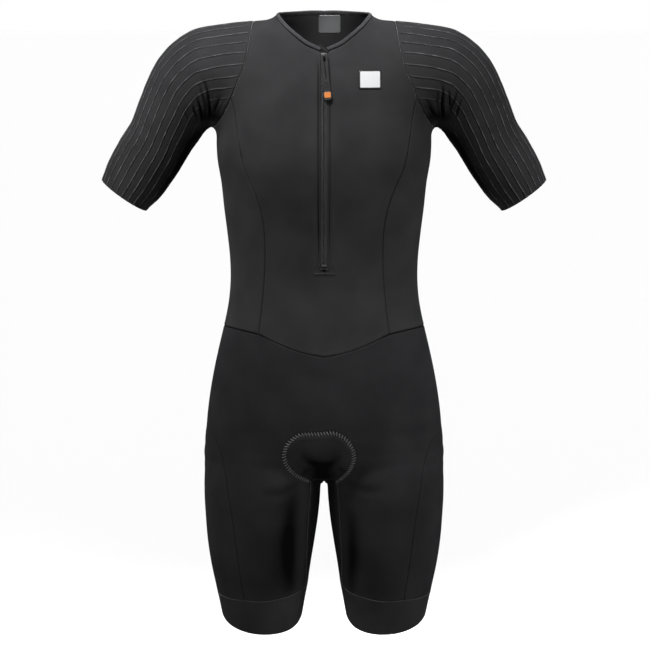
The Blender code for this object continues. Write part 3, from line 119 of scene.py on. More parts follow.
def nearest_on(points: np.ndarray, line: np.ndarray) -> tuple[np.ndarray, np.ndarray]:
    """Distance of each point to a line, and how far along it the nearest place is.

    Args:
        points: any number of points.
        line: points of the line, joined by straight runs.

    Returns:
        The distances, and the shares of the line's length, from 0 to 1.
    """
    run = run_of(line)
    best = np.full(len(points), np.inf)
    share = np.zeros(len(points))
    for index, (start, end) in enumerate(zip(line, line[1:])):
        along = end - start
        place = np.clip((points - start) @ along / max(float(along @ along), 1e-12), 0, 1)
        away = ((points - start - place[:, None] * along) ** 2).sum(1)
        closer = away < best
        best = np.where(closer, away, best)
        share = np.where(closer, run[index] + place * (run[index + 1] - run[index]), share)
    return np.sqrt(best), share / run[-1]


def bump(distance: np.ndarray, reach: float) -> np.ndarray:
    """Soft bump of height 1: a bell curve of the distance over its reach."""
    return np.exp(-(distance / reach) ** 2)


# ---------------------------------------------------------------- figure

@dataclass(frozen=True)
class Slices:
    """Sizes of a form, one row for each slice, under named columns."""

    columns: tuple[str, ...]
    rows: tuple[tuple[float, ...], ...]

    def __getitem__(self, name: str) -> np.ndarray:
        """One column."""
        return np.array([row[self.columns.index(name)] for row in self.rows])

    def at(self, key: str, places: np.ndarray, names: Iterable[str]) -> list[np.ndarray]:
        """Smooth sizes between the slices.

        Args:
            key: the column that places the slices.
            places: wanted places in that column.
            names: the columns that are wanted.

        Returns:
            One array of sizes for each name.
        """
        return [smooth_curve(self[key], self[name], places) for name in names]


TORSO = Slices(("height", "half_width", "front", "back", "squareness"), (
    (0.020, 0.030, 0.030, 0.030, 2.0), (-0.010, 0.050, 0.045, 0.050, 2.0),
    (-0.040, 0.085, 0.062, 0.070, 2.1), (-0.075, 0.112, 0.083, 0.088, 2.2),
    (-0.110, 0.132, 0.098, 0.098, 2.3), (-0.150, 0.148, 0.109, 0.104, 2.35),
    (-0.190, 0.1495, 0.113, 0.103, 2.35), (-0.230, 0.1437, 0.110, 0.098, 2.3),
    (-0.265, 0.1402, 0.104, 0.092, 2.3), (-0.300, 0.1360, 0.098, 0.086, 2.3),
    (-0.335, 0.1326, 0.094, 0.081, 2.3), (-0.365, 0.1320, 0.092, 0.080, 2.3),
    (-0.395, 0.1345, 0.092, 0.083, 2.3), (-0.430, 0.1413, 0.094, 0.090, 2.3),
    (-0.465, 0.1496, 0.096, 0.099, 2.3), (-0.500, 0.1572, 0.097, 0.108, 2.3),
    (-0.535, 0.1632, 0.097, 0.115, 2.3), (-0.570, 0.1672, 0.095, 0.118, 2.3),
    (-0.600, 0.1685, 0.089, 0.116, 2.25), (-0.622, 0.1620, 0.078, 0.106, 2.2),
    (-0.636, 0.1350, 0.062, 0.088, 2.1), (-0.645, 0.0900, 0.044, 0.062, 2.0),
    (-0.652, 0.0300, 0.015, 0.020, 2.0)))
LEG = Slices(("height", "centre_x", "half_width", "centre_y", "half_depth"), (
    (-0.560, 0.0840, 0.0600, 0.004, 0.0640), (-0.600, 0.0862, 0.0750, 0.004, 0.0800),
    (-0.637, 0.0880, 0.0824, 0.005, 0.0875), (-0.673, 0.0887, 0.0834, 0.006, 0.0890),
    (-0.708, 0.0895, 0.0813, 0.008, 0.0870), (-0.744, 0.0908, 0.0775, 0.009, 0.0830),
    (-0.780, 0.0913, 0.0722, 0.010, 0.0775), (-0.815, 0.0904, 0.0662, 0.011, 0.0715),
    (-0.840, 0.0901, 0.0615, 0.012, 0.0665), (-0.865, 0.0898, 0.0572, 0.013, 0.0620),
    (-0.910, 0.0895, 0.0510, 0.014, 0.0560)))
ARM = Slices(("top_x", "top_z", "under_x", "under_z", "centre_y", "half_depth"), (
    (0.0000, 0.000, 0.000, -0.150, 0.004, 0.074), (0.0600, -0.003, 0.060, -0.150, 0.004, 0.074),
    (0.1020, -0.006, 0.105, -0.150, 0.004, 0.073), (0.1480, -0.011, 0.145, -0.151, 0.004, 0.070),
    (0.1820, -0.018, 0.157, -0.152, 0.005, 0.066), (0.2080, -0.034, 0.163, -0.155, 0.006, 0.062),
    (0.2305, -0.058, 0.169, -0.161, 0.008, 0.059), (0.2468, -0.088, 0.177, -0.172, 0.010, 0.055),
    (0.2588, -0.117, 0.190, -0.190, 0.012, 0.052), (0.2704, -0.146, 0.204, -0.213, 0.015, 0.049),
    (0.2872, -0.172, 0.219, -0.235, 0.018, 0.047), (0.3028, -0.200, 0.234, -0.254, 0.021, 0.045),
    (0.3140, -0.2275, 0.252, -0.2715, 0.024, 0.043), (0.3265, -0.262, 0.268, -0.303, 0.028, 0.041)))
NECK = Slices(("height", "half_width", "front", "back"), (
    (-0.060, 0.080, 0.070, 0.074), (-0.030, 0.070, 0.062, 0.066), (0.000, 0.062, 0.056, 0.057),
    (0.020, 0.057, 0.056, 0.048), (0.050, 0.054, 0.058, 0.042)))


@dataclass
class ArmPlace:
    """A place along the arm for each of some points, as the sizes of its slice there."""

    middle: np.ndarray
    axis: np.ndarray
    half_height: np.ndarray
    centre_y: np.ndarray
    half_depth: np.ndarray


@dataclass
class Figure:
    """Smooth closed form that the cloth lies on, as a distance that is 0 on its surface."""

    neck_blend: float = 0.022
    leg_blend: float = 0.018
    between_legs_blend: float = 0.008
    armpit_blend: float = 0.012
    shoulder_blend_growth: float = 0.45
    arm_squareness: float = 2.0
    leg_squareness: float = 2.1
    stations_per_slice: int = 10
    stations: ArmPlace = field(init=False)
    station_normals: np.ndarray = field(init=False)

    def __post_init__(self) -> None:
        """Work out the arm's fine slices, each from its top point to its under point."""
        rows = np.arange(len(ARM.rows))
        fine = np.linspace(0, rows[-1], rows[-1] * self.stations_per_slice + 1)
        sizes = {name: smooth_curve(rows, ARM[name], fine) for name in ARM.columns}
        top = np.stack([sizes["top_x"], sizes["top_z"]], 1)
        under = np.stack([sizes["under_x"], sizes["under_z"]], 1)
        height = np.linalg.norm(top - under, axis=1)
        axis = (top - under) / height[:, None]
        self.station_normals = np.stack([axis[:, 1], -axis[:, 0]], 1)
        self.stations = ArmPlace((top + under) / 2, axis, height / 2, sizes["centre_y"],
                                 sizes["half_depth"])

    @staticmethod
    def section(across: np.ndarray, deep: np.ndarray, half_width: np.ndarray,
                half_depth: np.ndarray, squareness: np.ndarray | float) -> np.ndarray:
        """Rough distance outside a squared ellipse, along the ray from its middle."""
        reach = np.abs(across / half_width) ** squareness + np.abs(deep / half_depth) ** squareness
        reach = np.maximum(reach ** (1 / squareness), 1e-6)
        return np.hypot(across, deep) * (1 - 1 / reach)

    @staticmethod
    def past_end(distance: np.ndarray, over: np.ndarray) -> np.ndarray:
        """Distance of points that lie past the end of a tube."""
        return np.where(over > 0, np.hypot(np.maximum(distance, 0), over), distance)

    @staticmethod
    def union(first: np.ndarray, second: np.ndarray, reach: np.ndarray | float) -> np.ndarray:
        """Lower of two distances, rounded off where they differ by less than reach."""
        overlap = np.maximum(reach - np.abs(first - second), 0) / reach
        return np.minimum(first, second) - overlap * overlap * reach / 4

    def torso(self, points: np.ndarray) -> np.ndarray:
        """Distance to the torso."""
        x, y, z = points.T
        half, front, back, squareness = TORSO.at("height", z, TORSO.columns[1:])
        distance = self.section(x, y, half, np.where(y < 0, front, back), squareness)
        return self.past_end(distance, np.maximum(z - TORSO["height"][0], TORSO["height"][-1] - z))

    def leg(self, points: np.ndarray, side: Side) -> np.ndarray:
        """Distance to one leg."""
        x, y, z = points.T
        centre, half, middle, depth = LEG.at("height", z, LEG.columns[1:])
        distance = self.section(x * side.value - centre, y - middle, half, depth,
                                self.leg_squareness)
        return self.past_end(distance, z - LEG["height"][0])

    def neck(self, points: np.ndarray) -> np.ndarray:
        """Distance to the neck."""
        x, y, z = points.T
        half, front, back = NECK.at("height", z, NECK.columns[1:])
        distance = self.section(x, y, half, np.where(y < 0, front, back), 2.0)
        return self.past_end(distance, NECK["height"][0] - z)

    def station_of(self, points: np.ndarray) -> np.ndarray:
        """Station of each point along the arm, counted in fine slices, with its share."""
        middle, normal = self.stations.middle, self.station_normals
        ahead = ((np.abs(points[:, 0])[:, None] - middle[:, 0]) * normal[:, 0]
                 + (points[:, 2][:, None] - middle[:, 1]) * normal[:, 1])
        cell = np.clip((ahead >= 0).sum(1) - 1, 0, len(middle) - 2)
        rows = np.arange(len(points))
        here, following = ahead[rows, cell], ahead[rows, cell + 1]
        span = np.where(np.abs(here - following) < 1e-9, 1e-9, here - following)
        return cell + np.clip(here / span, 0, 1)

    def arm_place(self, station: np.ndarray) -> ArmPlace:
        """Sizes of the arm at stations that may lie between two fine slices."""
        cell = np.minimum(station.astype(int), len(self.stations.middle) - 2)
        share = station - cell

        def between(values: np.ndarray) -> np.ndarray:
            """Straight mix of the two slices round each station."""
            return (values[cell].T * (1 - share) + values[cell + 1].T * share).T

        parts = self.stations
        return ArmPlace(*(between(values) for values in (
            parts.middle, parts.axis, parts.half_height, parts.centre_y, parts.half_depth)))

    def arm(self, points: np.ndarray) -> np.ndarray:
        """Distance to the nearer arm."""
        place = self.arm_place(self.station_of(points))
        along = ((np.abs(points[:, 0]) - place.middle[:, 0]) * place.axis[:, 0]
                 + (points[:, 2] - place.middle[:, 1]) * place.axis[:, 1])
        return self.section(along, points[:, 1] - place.centre_y, place.half_height,
                            place.half_depth, self.arm_squareness)

    def distance(self, points: np.ndarray) -> np.ndarray:
        """Distance to the whole figure: its forms joined with rounded hollows between them."""
        arm_blend = self.armpit_blend + self.shoulder_blend_growth * np.abs(points[:, 1])
        body = self.union(self.torso(points), self.arm(points), arm_blend)
        body = self.union(body, self.neck(points), self.neck_blend)
        legs = self.union(self.leg(points, Side.LEFT), self.leg(points, Side.RIGHT),
                          self.between_legs_blend)
        return self.union(body, legs, self.leg_blend)

    def slope(self, points: np.ndarray, step: float = 2e-4) -> np.ndarray:
        """Gradient of the distance, by central differences."""
        slope = np.empty_like(points)
        for axis in range(3):
            shift = np.zeros(3)
            shift[axis] = step
            slope[:, axis] = (self.distance(points + shift)
                              - self.distance(points - shift)) / (2 * step)
        return slope

    def onto(self, points: np.ndarray, level: float = 0.0, rounds: int = 8,
             longest: float = 0.02) -> np.ndarray:
        """Points moved down the slope until they lie on the surface at a level.

        Args:
            points: any shape that ends in three coordinates.
            level: distance from the surface that is wanted.
            rounds: number of steps.
            longest: the most that one step may move a point.

        Returns:
            The moved points, in the same shape.
        """
        moved = np.array(points, float).reshape(-1, 3)
        for _ in range(rounds):
            slope = self.slope(moved)
            steep = np.maximum((slope ** 2).sum(1), 1e-6)
            step = ((self.distance(moved) - level) / steep)[:, None] * slope
            length = np.linalg.norm(step, axis=1, keepdims=True)
            moved -= step * np.minimum(1, longest / np.maximum(length, 1e-9))
        moved[np.abs(moved[:, 0]) < 1e-7, 0] = 0.0
        return moved.reshape(np.shape(points))

    def outward(self, points: np.ndarray) -> np.ndarray:
        """Unit normals of the surface at points on it."""
        slope = self.slope(points.reshape(-1, 3))
        return (slope / np.linalg.norm(slope, axis=1, keepdims=True)).reshape(points.shape)

    def dropped(self, knots: np.ndarray, rounds: int = 12, longest: float = 0.01,
                facing: float = 0.45) -> np.ndarray:
        """Knots moved onto the surface along one axis each: Y where it faces that way enough."""
        knots = np.array(knots, float)
        normals = np.abs(self.outward(self.onto(knots, rounds=10)))
        axes = np.where(normals[:, 1] > facing, 1, normals.argmax(1))
        rows = np.arange(len(knots))
        for _ in range(rounds):
            steep = self.slope(knots)[rows, axes]
            steep = np.where(np.abs(steep) < 0.2, np.sign(steep) * 0.2 + (steep == 0) * 0.2, steep)
            knots[rows, axes] -= np.clip(self.distance(knots) / steep, -longest, longest)
        return knots

    def faced(self, x: np.ndarray, z: np.ndarray, face: Face, halvings: int = 26) -> np.ndarray:
        """Points on the front or back of the figure over given places.

        The depth is halved towards the surface, from the figure's middle plane outwards.

        Args:
            x: places across, of any shape.
            z: heights, of the same shape.
            face: the front or the back.
            halvings: number of halving steps.

        Returns:
            The points, in the same shape with three coordinates.
        """
        x, z = np.broadcast_arrays(np.asarray(x, float), np.asarray(z, float))
        inside = np.full(x.size, 0.008)
        outside = np.full(x.size, 0.16 * face.value)
        for _ in range(halvings):
            middle = (inside + outside) / 2
            beyond = self.distance(np.stack([x.ravel(), middle, z.ravel()], 1)) > 0
            outside = np.where(beyond, middle, outside)
            inside = np.where(beyond, inside, middle)
        return np.stack([x.ravel(), (inside + outside) / 2, z.ravel()], 1).reshape(x.shape + (3,))


# ---------------------------------------------------------------- pattern

Knots = tuple[tuple[float, float, float], ...]


@dataclass(frozen=True)
class Seam:
    """One seam line of the left half: its knots, and the number of CAD cells along it."""

    knots: Knots
    cells: int


SEAMS = {
    "neck_front": Seam((
        (0.0000, -0.066, -0.0465), (0.0143, -0.066, -0.0417), (0.0305, -0.058, -0.0315),
        (0.0500, -0.040, -0.0166), (0.0665, 0.004, 0.0010)), 5),
    "neck_back": Seam((
        (0.0665, 0.004, 0.0010), (0.0580, 0.032, 0.0025), (0.0360, 0.052, 0.0035),
        (0.0000, 0.058, 0.0040)), 5),
    "shoulder": Seam((
        (0.0665, 0.004, 0.0010), (0.0800, 0.006, -0.0035), (0.0975, 0.008, -0.0070)), 2),
    "armhole_front": Seam((
        (0.0975, 0.008, -0.0070), (0.1000, -0.030, -0.0180), (0.1030, -0.058, -0.0380),
        (0.1080, -0.075, -0.0610), (0.1170, -0.087, -0.0850), (0.1265, -0.090, -0.1100)), 9),
    "armhole_under": Seam((
        (0.1265, -0.090, -0.1100), (0.1380, -0.070, -0.1330), (0.1520, -0.035, -0.1480),
        (0.1580, 0.004, -0.1515), (0.1520, 0.042, -0.1480), (0.1380, 0.076, -0.1330),
        (0.1265, 0.092, -0.1100)), 6),
    "armhole_back": Seam((
        (0.0975, 0.008, -0.0070), (0.1000, 0.045, -0.0180), (0.1030, 0.066, -0.0380),
        (0.1080, 0.081, -0.0610), (0.1170, 0.089, -0.0850), (0.1265, 0.092, -0.1100)), 9),
    "side_front": Seam((
        (0.1265, -0.090, -0.1100), (0.1210, -0.095, -0.1350), (0.1168, -0.097, -0.1650),
        (0.1102, -0.099, -0.1985), (0.0928, -0.100, -0.2395), (0.0847, -0.098, -0.2670),
        (0.0808, -0.092, -0.3080), (0.0817, -0.087, -0.3495), (0.0853, -0.085, -0.3910),
        (0.0903, -0.085, -0.4333)), 16),
    "side_back": Seam((
        (0.1265, 0.092, -0.1100), (0.1180, 0.095, -0.1650), (0.1060, 0.094, -0.2300),
        (0.0970, 0.084, -0.3000), (0.0945, 0.077, -0.3600), (0.0980, 0.084, -0.4270)), 16),
    "slit": Seam((
        (0.0, -0.066, -0.0465), (0.0, -0.113, -0.1900), (0.0, -0.094, -0.3410)), 17),
    "below_slit": Seam((
        (0.0, -0.093, -0.3455), (0.0, -0.092, -0.3900), (0.0, -0.095, -0.4625)), 7),
    "back_middle": Seam((
        (0.0, 0.058, 0.004), (0.0, 0.090, -0.060), (0.0, 0.104, -0.150), (0.0, 0.086, -0.300),
        (0.0, 0.080, -0.365), (0.0, 0.094, -0.436)), 25),
    "waist_front": Seam((
        (0.0000, -0.095, -0.4625), (0.0310, -0.094, -0.4565), (0.0620, -0.091, -0.4455),
        (0.0903, -0.085, -0.4333)), 7),
    "waist_side_front": Seam((
        (0.0903, -0.085, -0.4333), (0.1070, -0.072, -0.4310), (0.1295, -0.036, -0.4295),
        (0.1400, 0.004, -0.4330)), 3),
    "waist_side_back": Seam((
        (0.1400, 0.004, -0.4330), (0.1300, 0.045, -0.4320), (0.1120, 0.073, -0.4290),
        (0.0980, 0.084, -0.4270)), 3),
    "waist_back": Seam((
        (0.0980, 0.084, -0.4270), (0.0620, 0.090, -0.4310), (0.0000, 0.094, -0.4360)), 7),
    "hip_side": Seam((
        (0.1400, 0.004, -0.4330), (0.1620, 0.005, -0.5300), (0.1690, 0.006, -0.5800)), 7),
    "shorts_front_middle": Seam((
        (0.0, -0.095, -0.4625), (0.0, -0.097, -0.530), (0.0, -0.090, -0.595),
        (0.0, -0.068, -0.630), (0.0, -0.044, -0.6460)), 13),
    "shorts_back_middle": Seam((
        (0.0, 0.094, -0.436), (0.0, 0.112, -0.520), (0.0, 0.112, -0.595),
        (0.0, 0.090, -0.630), (0.0, 0.058, -0.6460)), 13),
    "outer_top_front": Seam((
        (0.1690, 0.006, -0.5800), (0.1650, -0.030, -0.5820), (0.1520, -0.056, -0.5880)), 3),
    "outer_top_back": Seam((
        (0.1690, 0.006, -0.5800), (0.1650, 0.045, -0.5820), (0.1480, 0.080, -0.5880)), 3),
    "outer_front_high": Seam((
        (0.1520, -0.056, -0.5880), (0.1425, -0.064, -0.6150), (0.1365, -0.066, -0.6450)), 3),
    "outer_front": Seam((
        (0.1365, -0.066, -0.6450), (0.1300, -0.068, -0.6900), (0.1245, -0.065, -0.7330),
        (0.1190, -0.058, -0.7800), (0.1130, -0.053, -0.8205)), 9),
    "outer_back_high": Seam((
        (0.1480, 0.080, -0.5880), (0.1410, 0.086, -0.6150), (0.1370, 0.086, -0.6450)), 3),
    "outer_back": Seam((
        (0.1370, 0.086, -0.6450), (0.1300, 0.086, -0.7000), (0.1210, 0.080, -0.7600),
        (0.1130, 0.072, -0.8120)), 9),
    "thigh_front": Seam((
        (0.1365, -0.066, -0.6450), (0.0880, -0.083, -0.6530), (0.0450, -0.072, -0.6500),
        (0.0160, -0.047, -0.6420)), 8),
    "thigh_back": Seam((
        (0.1370, 0.086, -0.6450), (0.0880, 0.094, -0.6530), (0.0480, 0.085, -0.6500),
        (0.0190, 0.062, -0.6420)), 8),
    "crotch_front": Seam((
        (0.0160, -0.047, -0.6420), (0.0080, -0.045, -0.6440), (0.0000, -0.044, -0.6460)), 2),
    "crotch_back": Seam((
        (0.0190, 0.062, -0.6420), (0.0090, 0.060, -0.6440), (0.0000, 0.058, -0.6460)), 2),
    "crotch_middle": Seam((
        (0.0000, -0.044, -0.6460), (0.0000, 0.006, -0.6540), (0.0000, 0.058, -0.6460)), 6),
    "inner_front": Seam((
        (0.0160, -0.047, -0.6420), (0.0205, -0.046, -0.6800), (0.0234, -0.043, -0.7280),
        (0.0252, -0.038, -0.7700), (0.0262, -0.030, -0.8110)), 9),
    "inner_back": Seam((
        (0.0190, 0.062, -0.6420), (0.0230, 0.060, -0.6800), (0.0255, 0.057, -0.7280),
        (0.0270, 0.052, -0.7700), (0.0285, 0.046, -0.8110)), 9),
    "band_front": Seam((
        (0.1130, -0.053, -0.8205), (0.0900, -0.056, -0.8215), (0.0550, -0.050, -0.8180),
        (0.0262, -0.030, -0.8110)), 8),
    "band_inner": Seam((
        (0.0262, -0.030, -0.8110), (0.0235, 0.010, -0.8080), (0.0285, 0.046, -0.8110)), 6),
    "band_back": Seam((
        (0.0285, 0.046, -0.8110), (0.0550, 0.076, -0.8140), (0.0880, 0.081, -0.8150),
        (0.1130, 0.072, -0.8120)), 8),
    "band_outer": Seam((
        (0.1130, 0.072, -0.8120), (0.1450, 0.045, -0.8180), (0.1560, 0.011, -0.8220),
        (0.1450, -0.028, -0.8220), (0.1130, -0.053, -0.8205)), 6),
}
HEM_TURNS = (0.0, 40.0, 90.0, 140.0, 180.0, 225.0, 270.0, 315.0, 360.0)
HEM_HEIGHTS = (-0.8520, -0.8650, -0.8740, -0.8700, -0.8560, -0.8520, -0.8530, -0.8520, -0.8520)


@dataclass(frozen=True)
class Edge:
    """One side of a net: seam lines laid end to end, each forwards or, with a -, backwards."""

    names: tuple[str, ...]
    sewn: bool = True


@dataclass
class Net:
    """A net of points on the figure, with the way to the nearest sewn edge."""

    points: np.ndarray
    to_seam: np.ndarray
    turned: bool = False
    columns_at: np.ndarray | None = None
    rows_at: np.ndarray | None = None

    def mirrored(self) -> "Net":
        """The same net on the other side of the body."""
        return Net(self.points * MIRROR, self.to_seam, not self.turned, self.columns_at,
                   self.rows_at)


@dataclass
class Pattern:
    """The seam lines, drawn finely on the figure, and the nets between them."""

    figure: Figure
    per_cell: int = 7
    slit_half: float = 0.0042
    slit_cells: int = 17
    near_edge: tuple[float, ...] = (0.028, 0.055, 0.095, 0.16)
    lines: dict[str, np.ndarray] = field(init=False)

    def __post_init__(self) -> None:
        """Draw every seam line."""
        self.lines = {name: self.drawn(np.array(seam.knots), seam.cells)
                      for name, seam in SEAMS.items()}

    def drawn(self, knots: np.ndarray, cells: int, fine: int = 24) -> np.ndarray:
        """Smooth line through knots on the figure, with many points in each CAD cell."""
        line = self.figure.onto(curved(self.figure.dropped(knots)))
        coarse = self.figure.onto(even_line(line, cells), rounds=4)
        return self.figure.onto(curved(coarse, fine), rounds=3)

    def marks(self, cells: int, sewn_start: bool, sewn_end: bool) -> np.ndarray:
        """Places of the rows or columns of a net, counted in CAD cells, closer by its seams."""
        per_cell = self.per_cell
        even = np.arange(cells * per_cell + 1) / per_cell
        near = np.array(self.near_edge)
        if sewn_start:
            even = np.concatenate([[0.0], near, even[even > near[-1] + 0.4 / per_cell]])
        if sewn_end:
            even = np.concatenate([even[even < cells - near[-1] - 0.4 / per_cell],
                                   cells - near[::-1], [cells]])
        return even

    def along(self, names: Sequence[str], marks: np.ndarray) -> np.ndarray:
        """Points at marks along seam lines that are laid end to end.

        Args:
            names: the lines, each with a leading - where it runs backwards.
            marks: places, counted in the lines' CAD cells.

        Returns:
            One point for each mark, on the figure.
        """
        points = np.empty((len(marks), 3))
        start = 0
        for name in names:
            key = name.lstrip("-")
            line = self.lines[key][::-1] if name.startswith("-") else self.lines[key]
            cells = SEAMS[key].cells
            here = (marks >= start - 1e-9) & (marks <= start + cells + 1e-9)
            run = run_of(line)
            places = (marks[here] - start) / cells * run[-1]
            points[here] = np.stack([np.interp(places, run, line[:, axis]) for axis in range(3)], 1)
            start += cells
        return self.figure.onto(points, rounds=2)

    @staticmethod
    def seam_distance(points: np.ndarray, sewn: tuple[bool, bool, bool, bool]) -> np.ndarray:
        """Way from each point of a net along its rows or columns to the nearest sewn edge.

        Args:
            points: the net.
            sewn: whether its top, bottom, left and right edges are sewn.

        Returns:
            The distances, 1 metre where no edge is sewn.
        """
        down = np.linalg.norm(np.diff(points, axis=0), axis=2)
        across = np.linalg.norm(np.diff(points, axis=1), axis=2)
        from_top = np.concatenate([np.zeros((1, points.shape[1])), np.cumsum(down, 0)])
        from_left = np.concatenate([np.zeros((points.shape[0], 1)), np.cumsum(across, 1)], 1)
        ways = [from_top, from_top[-1:] - from_top, from_left, from_left[:, -1:] - from_left]
        return np.min([way if on else np.ones_like(way) for way, on in zip(ways, sewn)], axis=0)

    def net(self, top: Edge, bottom: Edge, left: Edge, right: Edge, turned: bool = False,
            slit: bool = False) -> Net:
        """Net between four edges: its inner points are mixed from them and laid on the figure.

        Each inner point is the mix of the two edges across it, plus that of the two along it,
        less the mix of the four corners.

        Args:
            top: edge above, from left to right.
            bottom: edge below, from left to right.
            left: edge on the left, from top to bottom.
            right: edge on the right, from top to bottom.
            turned: whether the net faces the other way.
            slit: whether the left edge is the front's middle, with the zip's slit in it.

        Returns:
            The net.
        """
        wide = sum(SEAMS[name.lstrip("-")].cells for name in top.names)
        long = sum(SEAMS[name.lstrip("-")].cells for name in right.names)
        columns = self.marks(wide, left.sewn or slit, right.sewn)
        rows = self.marks(long, top.sewn, bottom.sewn)
        upper, lower = self.along(top.names, columns), self.along(bottom.names, columns)
        outer = self.along(right.names, rows)
        inner = self.front_middle(rows) if slit else self.along(left.names, rows)
        if slit:
            upper = upper + (inner[0] - upper[0]) * (1 - columns / wide)[:, None] ** 2
        across, down = (columns / wide)[None, :, None], (rows / long)[:, None, None]
        points = ((1 - down) * upper[None] + down * lower[None]
                  + (1 - across) * inner[:, None] + across * outer[:, None]
                  - (1 - across) * (1 - down) * upper[0] - across * (1 - down) * upper[-1]
                  - (1 - across) * down * lower[0] - across * down * lower[-1])
        points[1:-1, 1:-1] = self.figure.onto(points[1:-1, 1:-1], rounds=4)
        sewn = (top.sewn, bottom.sewn, left.sewn, right.sewn)
        return Net(points, self.seam_distance(points, sewn), turned, columns, rows)

    def front_middle(self, rows: np.ndarray) -> np.ndarray:
        """The front's middle edge, held aside along the slit and closing over one cell below it."""
        points = np.empty((len(rows), 3))
        above, below = rows <= self.slit_cells, rows >= self.slit_cells + 1
        points[above] = self.along(("slit",), rows[above])
        points[below] = self.along(("below_slit",), rows[below] - self.slit_cells - 1)
        between = ~above & ~below
        share = (rows[between] - self.slit_cells)[:, None]
        ends = self.lines["slit"][-1], self.lines["below_slit"][0]
        points[between] = ends[0] * (1 - share) + ends[1] * share
        aside = self.slit_half * np.clip(self.slit_cells + 1 - rows, 0, 1)
        points[:, 0] = aside
        points = self.figure.onto(points, rounds=3)
        points[:, 0] = aside
        return points

    def front(self) -> Net:
        """Left half of the front, from its middle outwards."""
        return self.net(Edge(("neck_front", "shoulder")), Edge(("waist_front",)),
                        Edge(("slit", "below_slit"), sewn=False),
                        Edge(("armhole_front", "side_front")), slit=True)

    def back(self) -> Net:
        """Left half of the back, from its middle outwards."""
        return self.net(Edge(("-neck_back", "shoulder")), Edge(("-waist_back",)),
                        Edge(("back_middle",), sewn=False), Edge(("armhole_back", "side_back")),
                        turned=True)

    def side(self) -> Net:
        """Side panel, from its front seam round to its back seam."""
        return self.net(Edge(("armhole_under",)), Edge(("waist_side_front", "waist_side_back")),
                        Edge(("side_front",)), Edge(("side_back",)))

    def shorts(self, face: Face) -> list[Net]:
        """Hip and thigh of the shorts' front or back, from the middle outwards."""
        word = face.name.lower()
        back = face is Face.BACK
        order = "-" if back else ""
        hip_top = (order + f"waist_{word}", order + f"waist_side_{word}")
        hip = self.net(Edge(hip_top), Edge((f"-crotch_{word}", f"-thigh_{word}"), sewn=False),
                       Edge((f"shorts_{word}_middle",), sewn=False),
                       Edge(("hip_side", f"outer_top_{word}", f"outer_{word}_high")), turned=back)
        band = "band_back" if back else "-band_front"
        thigh = self.net(Edge((f"-thigh_{word}",), sewn=False), Edge((band,)),
                         Edge((f"inner_{word}",)), Edge((f"outer_{word}",)), turned=back)
        return [hip, thigh]

    def outer_leg(self) -> Net:
        """Outer thigh, from its front seam round to its back seam."""
        return self.net(Edge(("-outer_top_front", "outer_top_back")), Edge(("-band_outer",)),
                        Edge(("outer_front_high", "outer_front")),
                        Edge(("outer_back_high", "outer_back")))

    def inner_leg(self) -> Net:
        """Inner thigh, from its front seam round to its back seam."""
        return self.net(Edge(("crotch_middle",), sewn=False), Edge(("band_inner",)),
                        Edge(("-crotch_front", "inner_front")),
                        Edge(("-crotch_back", "inner_back")), turned=True)

    def band(self, rows: int = 22) -> Net:
        """Band round the leg's end, a closed ring from its seam down to the hem.

        The hem's height is a smooth curve of the turn round the leg; the rows between are level
        shares of it, on the leg's own slices.

        Args:
            rows: number of cells from the seam to the hem.

        Returns:
            The net, whose last column is its first again.
        """
        names = ("band_front", "band_inner", "band_back", "band_outer")
        top = self.along(names, self.marks(28, False, False))
        centre, middle = LEG["centre_x"][-2], LEG["centre_y"][-2]
        turn = np.degrees(np.arctan2(middle - top[:, 1], top[:, 0] - centre)) % 360
        hem = smooth_curve(np.array(HEM_TURNS), np.array(HEM_HEIGHTS), turn)
        share = np.concatenate([[0, 0.012, 0.026, 0.048], np.linspace(0.08, 0.985, rows), [1.0]])
        height = top[:, 2] * (1 - share[:, None]) + hem * share[:, None]
        centres, half, middles, depth = LEG.at("height", height, LEG.columns[1:])
        across, deep = np.cos(np.radians(turn)), np.sin(np.radians(turn))
        power = self.figure.leg_squareness
        radius = (np.abs(across / half) ** power + np.abs(deep / depth) ** power) ** (-1 / power)
        points = np.stack([centres + radius * across, middles - radius * deep, height], -1)
        ease = np.clip(1 - share / 0.5, 0, 1)[:, None, None]
        points = points + (top[None] - points[0][None]) * ease
        return Net(points, self.seam_distance(points, (True, False, False, False)), True,
                   turn, share)

